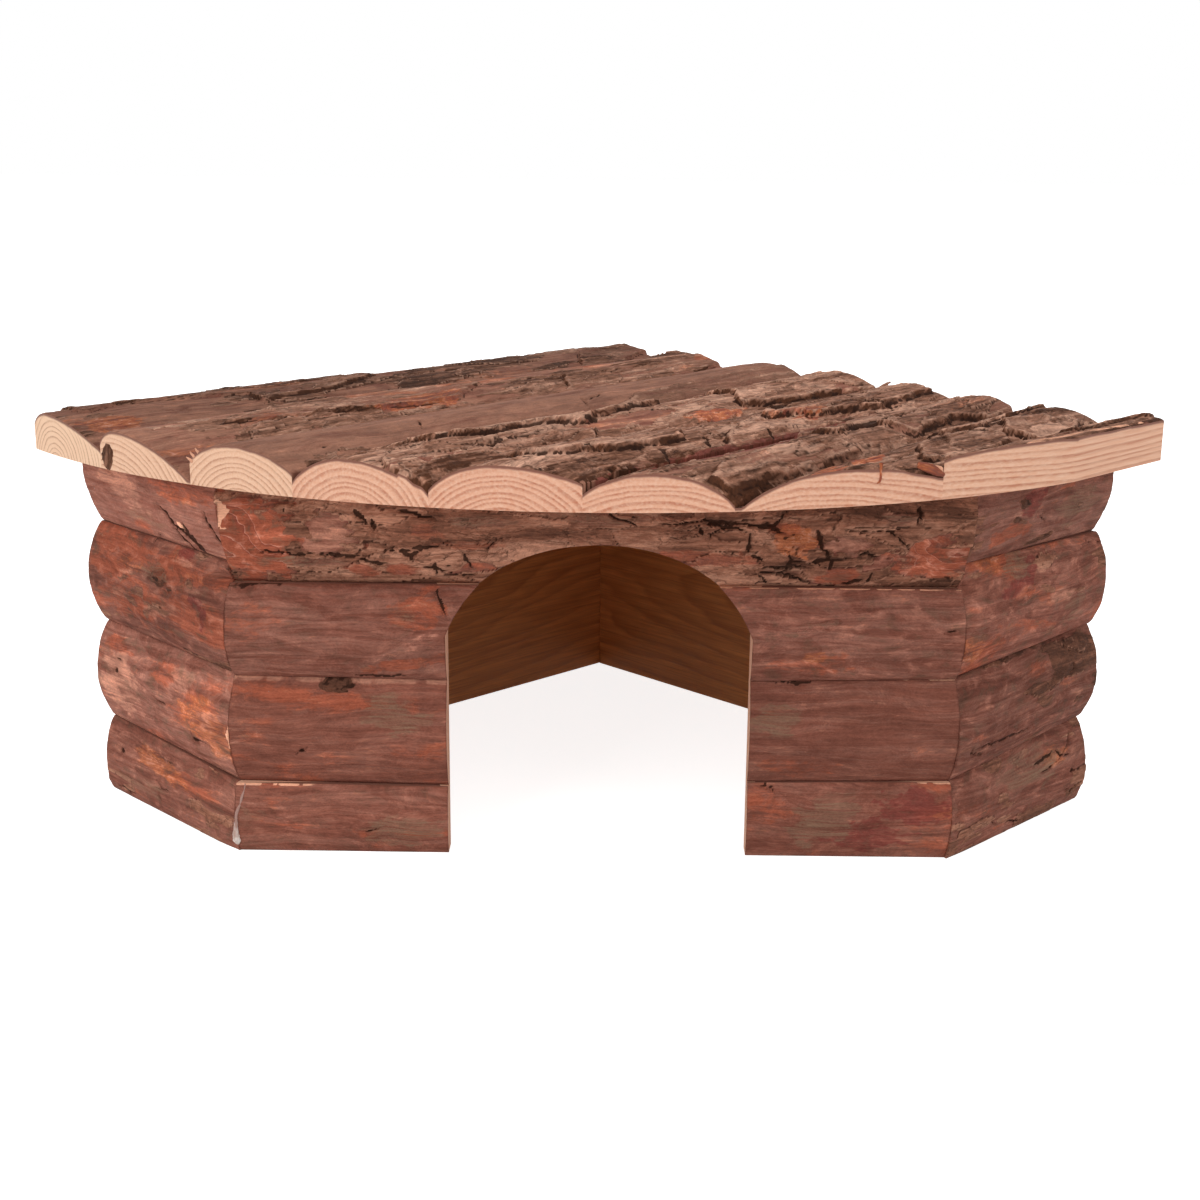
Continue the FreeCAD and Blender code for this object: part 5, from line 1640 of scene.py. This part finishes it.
# ---- Operators ----
class HOUSE_OT_roof_planks(bpy.types.Operator):
    """Build the eight half-log planks of the roof"""

    bl_idname = "corner_house.roof_planks"
    bl_label = "Roof planks"
    bl_options = {"REGISTER", "UNDO"}

    def execute(self, context):
        for index in range(len(PLANKS)):
            build_plank(index, context.scene.corner_house)
        return {"FINISHED"}


class HOUSE_OT_wall_slabs(bpy.types.Operator):
    """Build the slabs of the front wall around its doorway, and those of the two side walls"""

    bl_idname = "corner_house.wall_slabs"
    bl_label = "Wall slabs"
    bl_options = {"REGISTER", "UNDO"}

    def execute(self, context):
        for slab in SLABS:
            build_slab(slab, context.scene.corner_house)
        return {"FINISHED"}


class HOUSE_OT_rear_boards(bpy.types.Operator):
    """Build the two planed boards at the rear"""

    bl_idname = "corner_house.rear_boards"
    bl_label = "Rear boards"
    bl_options = {"REGISTER", "UNDO"}

    def execute(self, context):
        settings = context.scene.corner_house
        for side, name in ((-1, "left"), (1, "right")):
            plan, along = rear_board_plan(side)
            obj = sawn_piece(
                f"rear_{name}_board_planed", plan, (0.0, WALL_HEIGHT), (*along, 0.0),
                finish_of("planed_board", settings), Core(28.0 * side, -18.0 * side, 6.5, 60.0),
                settings.sizes.board_rounding,
            )
            keep(obj, "rear_board", f"rear_{name}_board")
        return {"FINISHED"}


class HOUSE_OT_inner_frame(bpy.types.Operator):
    """Build the corner posts and the battens under the roof"""

    bl_idname = "corner_house.inner_frame"
    bl_label = "Posts and battens"
    bl_options = {"REGISTER", "UNDO"}

    def execute(self, context):
        settings = context.scene.corner_house
        for node in ("left_post", "right_post", "roof_batten_rear", "roof_batten_front"):
            plan, heights = node_plan(node)
            way = (0, 0, 1) if node.endswith("post") else (DIAGONAL, -DIAGONAL, 0)
            obj = sawn_piece(
                f"{node}_sawn", plan, heights, way, finish_of("sawn_softwood", settings),
                Core(14.0, 9.0, 2.8, 300.0), settings.sizes.board_rounding * 0.6,
            )
            keep(obj, "inner_batten", node)
        return {"FINISHED"}


class HOUSE_OT_brads(bpy.types.Operator):
    """Drive the brads through slabs and boards"""

    bl_idname = "corner_house.brads"
    bl_label = "Brads"
    bl_options = {"REGISTER", "UNDO"}

    def execute(self, context):
        settings = context.scene.corner_house
        for wall in BRAD_LINES:
            inward = -Vector((*WALLS[wall].outward, 0.0))
            heads = []
            for slab, along, height in brad_places(wall):
                out = bark_out(slab, along, height, settings.sizes)
                heads.append((wall_point(wall, along, out - BRAD_SUNK, height), inward))
            name = "front_brads" if wall == "front" else f"{wall}_side_brads"
            keep(brads_object(f"{name}_steel", heads, settings), "brad_wire", name)
        inward = (DIAGONAL, -DIAGONAL, 0.0)
        edge = -DIAGONAL * BOARD_THICKNESS / 2
        heads = [((edge + 0.05, REAR_CORNER_Y + edge - 0.05, z), inward) for z in REAR_BRAD_HEIGHTS]
        keep(brads_object("rear_brads_steel", heads, settings), "brad_wire", "rear_brads")
        return {"FINISHED"}


class HOUSE_OT_loose_bits(bpy.types.Operator):
    """Add loose bark, splinters and the run of dried glue"""

    bl_idname = "corner_house.loose_bits"
    bl_label = "Loose bark and glue"
    bl_options = {"REGISTER", "UNDO"}

    def execute(self, context):
        settings = context.scene.corner_house
        bark = finish_of("roof_bark", settings)
        for scrap in SCRAPS:
            keep(strand(scrap.name, scrap.stations, scrap.outward, bark, scrap.seed, scrap.masks),
                 "roof_log")
        slab = slab_by_node("front_left_slab_bottom")
        width = settings.sizes.glue_width / MM
        stations = []
        for along, height, wide, thick in GLUE_RUN:
            out = bark_out(slab, max(along, 0.0), height, settings.sizes)
            place = wall_point("front", along - out * MITRE * (along < 0.5), out, height)
            stations.append((*place, wide * width, thick * width))
        glue = strand("front_left_glue_run", stations, (-0.38, -0.92, 0.0),
                      finish_of("dried_glue", settings), 17, None)
        keep(glue, "wall_log")
        return {"FINISHED"}


# The camera: its place in mm, its turn down, to the side and round its axis in degrees, and the
# length of its lens. The lamps aim at a point inside the house, in metres.
CAMERA_PLACE = (6.4, -726.9, 265.3)
CAMERA_TURN = (15.193, -0.415, 0.520)
CAMERA_LENS = 54.78
LAMP_AIM = (0, 0, 0.07)


class HOUSE_OT_stage(bpy.types.Operator):
    """Set up the floor, the lights and the camera"""

    bl_idname = "corner_house.stage"
    bl_label = "Floor, lights and camera"
    bl_options = {"REGISTER", "UNDO"}

    def execute(self, context):
        settings = context.scene.corner_house
        scene = context.scene
        scene.view_settings.view_transform = "Standard"
        self.add_floor(settings)
        self.add_world(scene, settings)
        self.add_lamps(settings.light)
        self.add_camera(scene)
        return {"FINISHED"}

    def seen_directly(self, n):
        """1 for rays from the camera, from gloss and through glass."""
        path = n.add("ShaderNodeLightPath").outputs
        seen = n.plus(path["Is Camera Ray"], path["Is Glossy Ray"])
        return n.reckon("ADD", seen, path["Is Transmission Ray"], clamp=True)

    def add_floor(self, settings):
        """A wide pale floor that keeps the house's shadow."""
        mesh = bpy.data.meshes.new("studio_floor")
        reach, drop = 6.0, -0.0002
        mesh.from_pydata(
            [(-reach, -reach, drop), (reach, -reach, drop), (reach, reach, drop),
             (-reach, reach, drop)], [], [(0, 1, 2, 3)],
        )
        material = bpy.data.materials.new("studio_floor")
        n = Nodes(material)
        cloth = n.add("ShaderNodeBsdfDiffuse", {"Color": settings.colours.floor})
        glow = n.add(
            "ShaderNodeEmission",
            {"Color": (1.0, 1.0, 1.0, 1.0),
             "Strength": n.times(self.seen_directly(n), settings.light.floor_glow)},
        )
        both = n.add("ShaderNodeAddShader", {0: cloth.outputs[0], 1: glow.outputs[0]})
        n.add("ShaderNodeOutputMaterial", {"Surface": both.outputs[0]})
        mesh.materials.append(material)
        floor = placed("studio_floor", mesh)

    def add_world(self, scene, settings):
        """Even light from all round, and a white background."""
        scene.world = bpy.data.worlds.new("studio")
        n = Nodes(scene.world)
        strength = n.fit(self.seen_directly(n), 0.0, 1.0, settings.light.sky, 1.0)
        sky = n.add("ShaderNodeBackground", {"Color": (1.0, 1.0, 1.0, 1.0), "Strength": strength})
        n.add("ShaderNodeOutputWorld", {"Surface": sky.outputs[0]})

    def add_lamps(self, light):
        """Three large soft lamps."""
        for name, watts, size, place in (
            ("key_lamp", light.key, 1.4, (-1.25, -1.3, 1.25)),
            ("fill_lamp", light.fill, 1.2, (1.4, -1.2, 0.9)),
            ("top_lamp", light.top, 1.6, (0.1, 0.3, 1.7)),
        ):
            lamp = bpy.data.lights.new(name, "AREA")
            lamp.shape = "SQUARE"
            lamp.size = size
            lamp.energy = watts
            obj = placed(name, lamp)
            obj.location = place
            aim = Vector(LAMP_AIM) - obj.location
            obj.rotation_euler = aim.to_track_quat("-Z", "Y").to_euler()

    def add_camera(self, scene):
        """The camera in front of the doorway, a little above the roof."""
        pitch, yaw, roll = (math.radians(angle) for angle in CAMERA_TURN)
        forward = Vector(
            (math.sin(yaw) * math.cos(pitch), math.cos(yaw) * math.cos(pitch), -math.sin(pitch))
        )
        right = forward.cross(Vector((0, 0, 1))).normalized()
        above = right.cross(forward)
        side = right * math.cos(roll) + above * math.sin(roll)
        upward = above * math.cos(roll) - right * math.sin(roll)
        camera = bpy.data.cameras.new("studio_camera")
        camera.sensor_width = 36.0
        camera.lens = CAMERA_LENS
        camera.clip_start, camera.clip_end = 0.05, 30.0
        scene.camera = placed("studio_camera", camera)
        turn = Matrix((side, upward, -forward)).transposed().to_4x4()
        scene.camera.matrix_world = Matrix.Translation(Vector(CAMERA_PLACE) * MM) @ turn


class HOUSE_PT_panel(bpy.types.Panel):
    """The house's pieces, in the order in which they are built"""

    bl_idname = "HOUSE_PT_panel"
    bl_label = "Corner House"
    bl_space_type = "VIEW_3D"
    bl_region_type = "UI"
    bl_category = "Corner House"

    def draw(self, context):
        settings = context.scene.corner_house
        for operator in OPERATORS:
            self.layout.operator(operator.bl_idname)
        for group in (settings.sizes, settings.colours, settings.light):
            box = self.layout.box()
            for key in type(group).__annotations__:
                box.prop(group, key)


OPERATORS = (
    HOUSE_OT_roof_planks,
    HOUSE_OT_wall_slabs,
    HOUSE_OT_rear_boards,
    HOUSE_OT_inner_frame,
    HOUSE_OT_brads,
    HOUSE_OT_loose_bits,
    HOUSE_OT_stage,
)
CLASSES = (HouseSizes, HouseColours, HouseLight, HouseSettings, *OPERATORS, HOUSE_PT_panel)


def register():
    """Registers the classes and gives the scene its settings."""
    for one in CLASSES:
        bpy.utils.register_class(one)
    bpy.types.Scene.corner_house = PointerProperty(type=HouseSettings)


def unregister():
    """Removes the settings and the classes."""
    del bpy.types.Scene.corner_house
    for one in reversed(CLASSES):
        bpy.utils.unregister_class(one)


def main():
    """Builds every piece."""
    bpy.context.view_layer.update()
    register()
    for operator in OPERATORS:
        group, _, name = operator.bl_idname.partition(".")
        getattr(getattr(bpy.ops, group), name)()


if __name__ == "__main__":
    main()
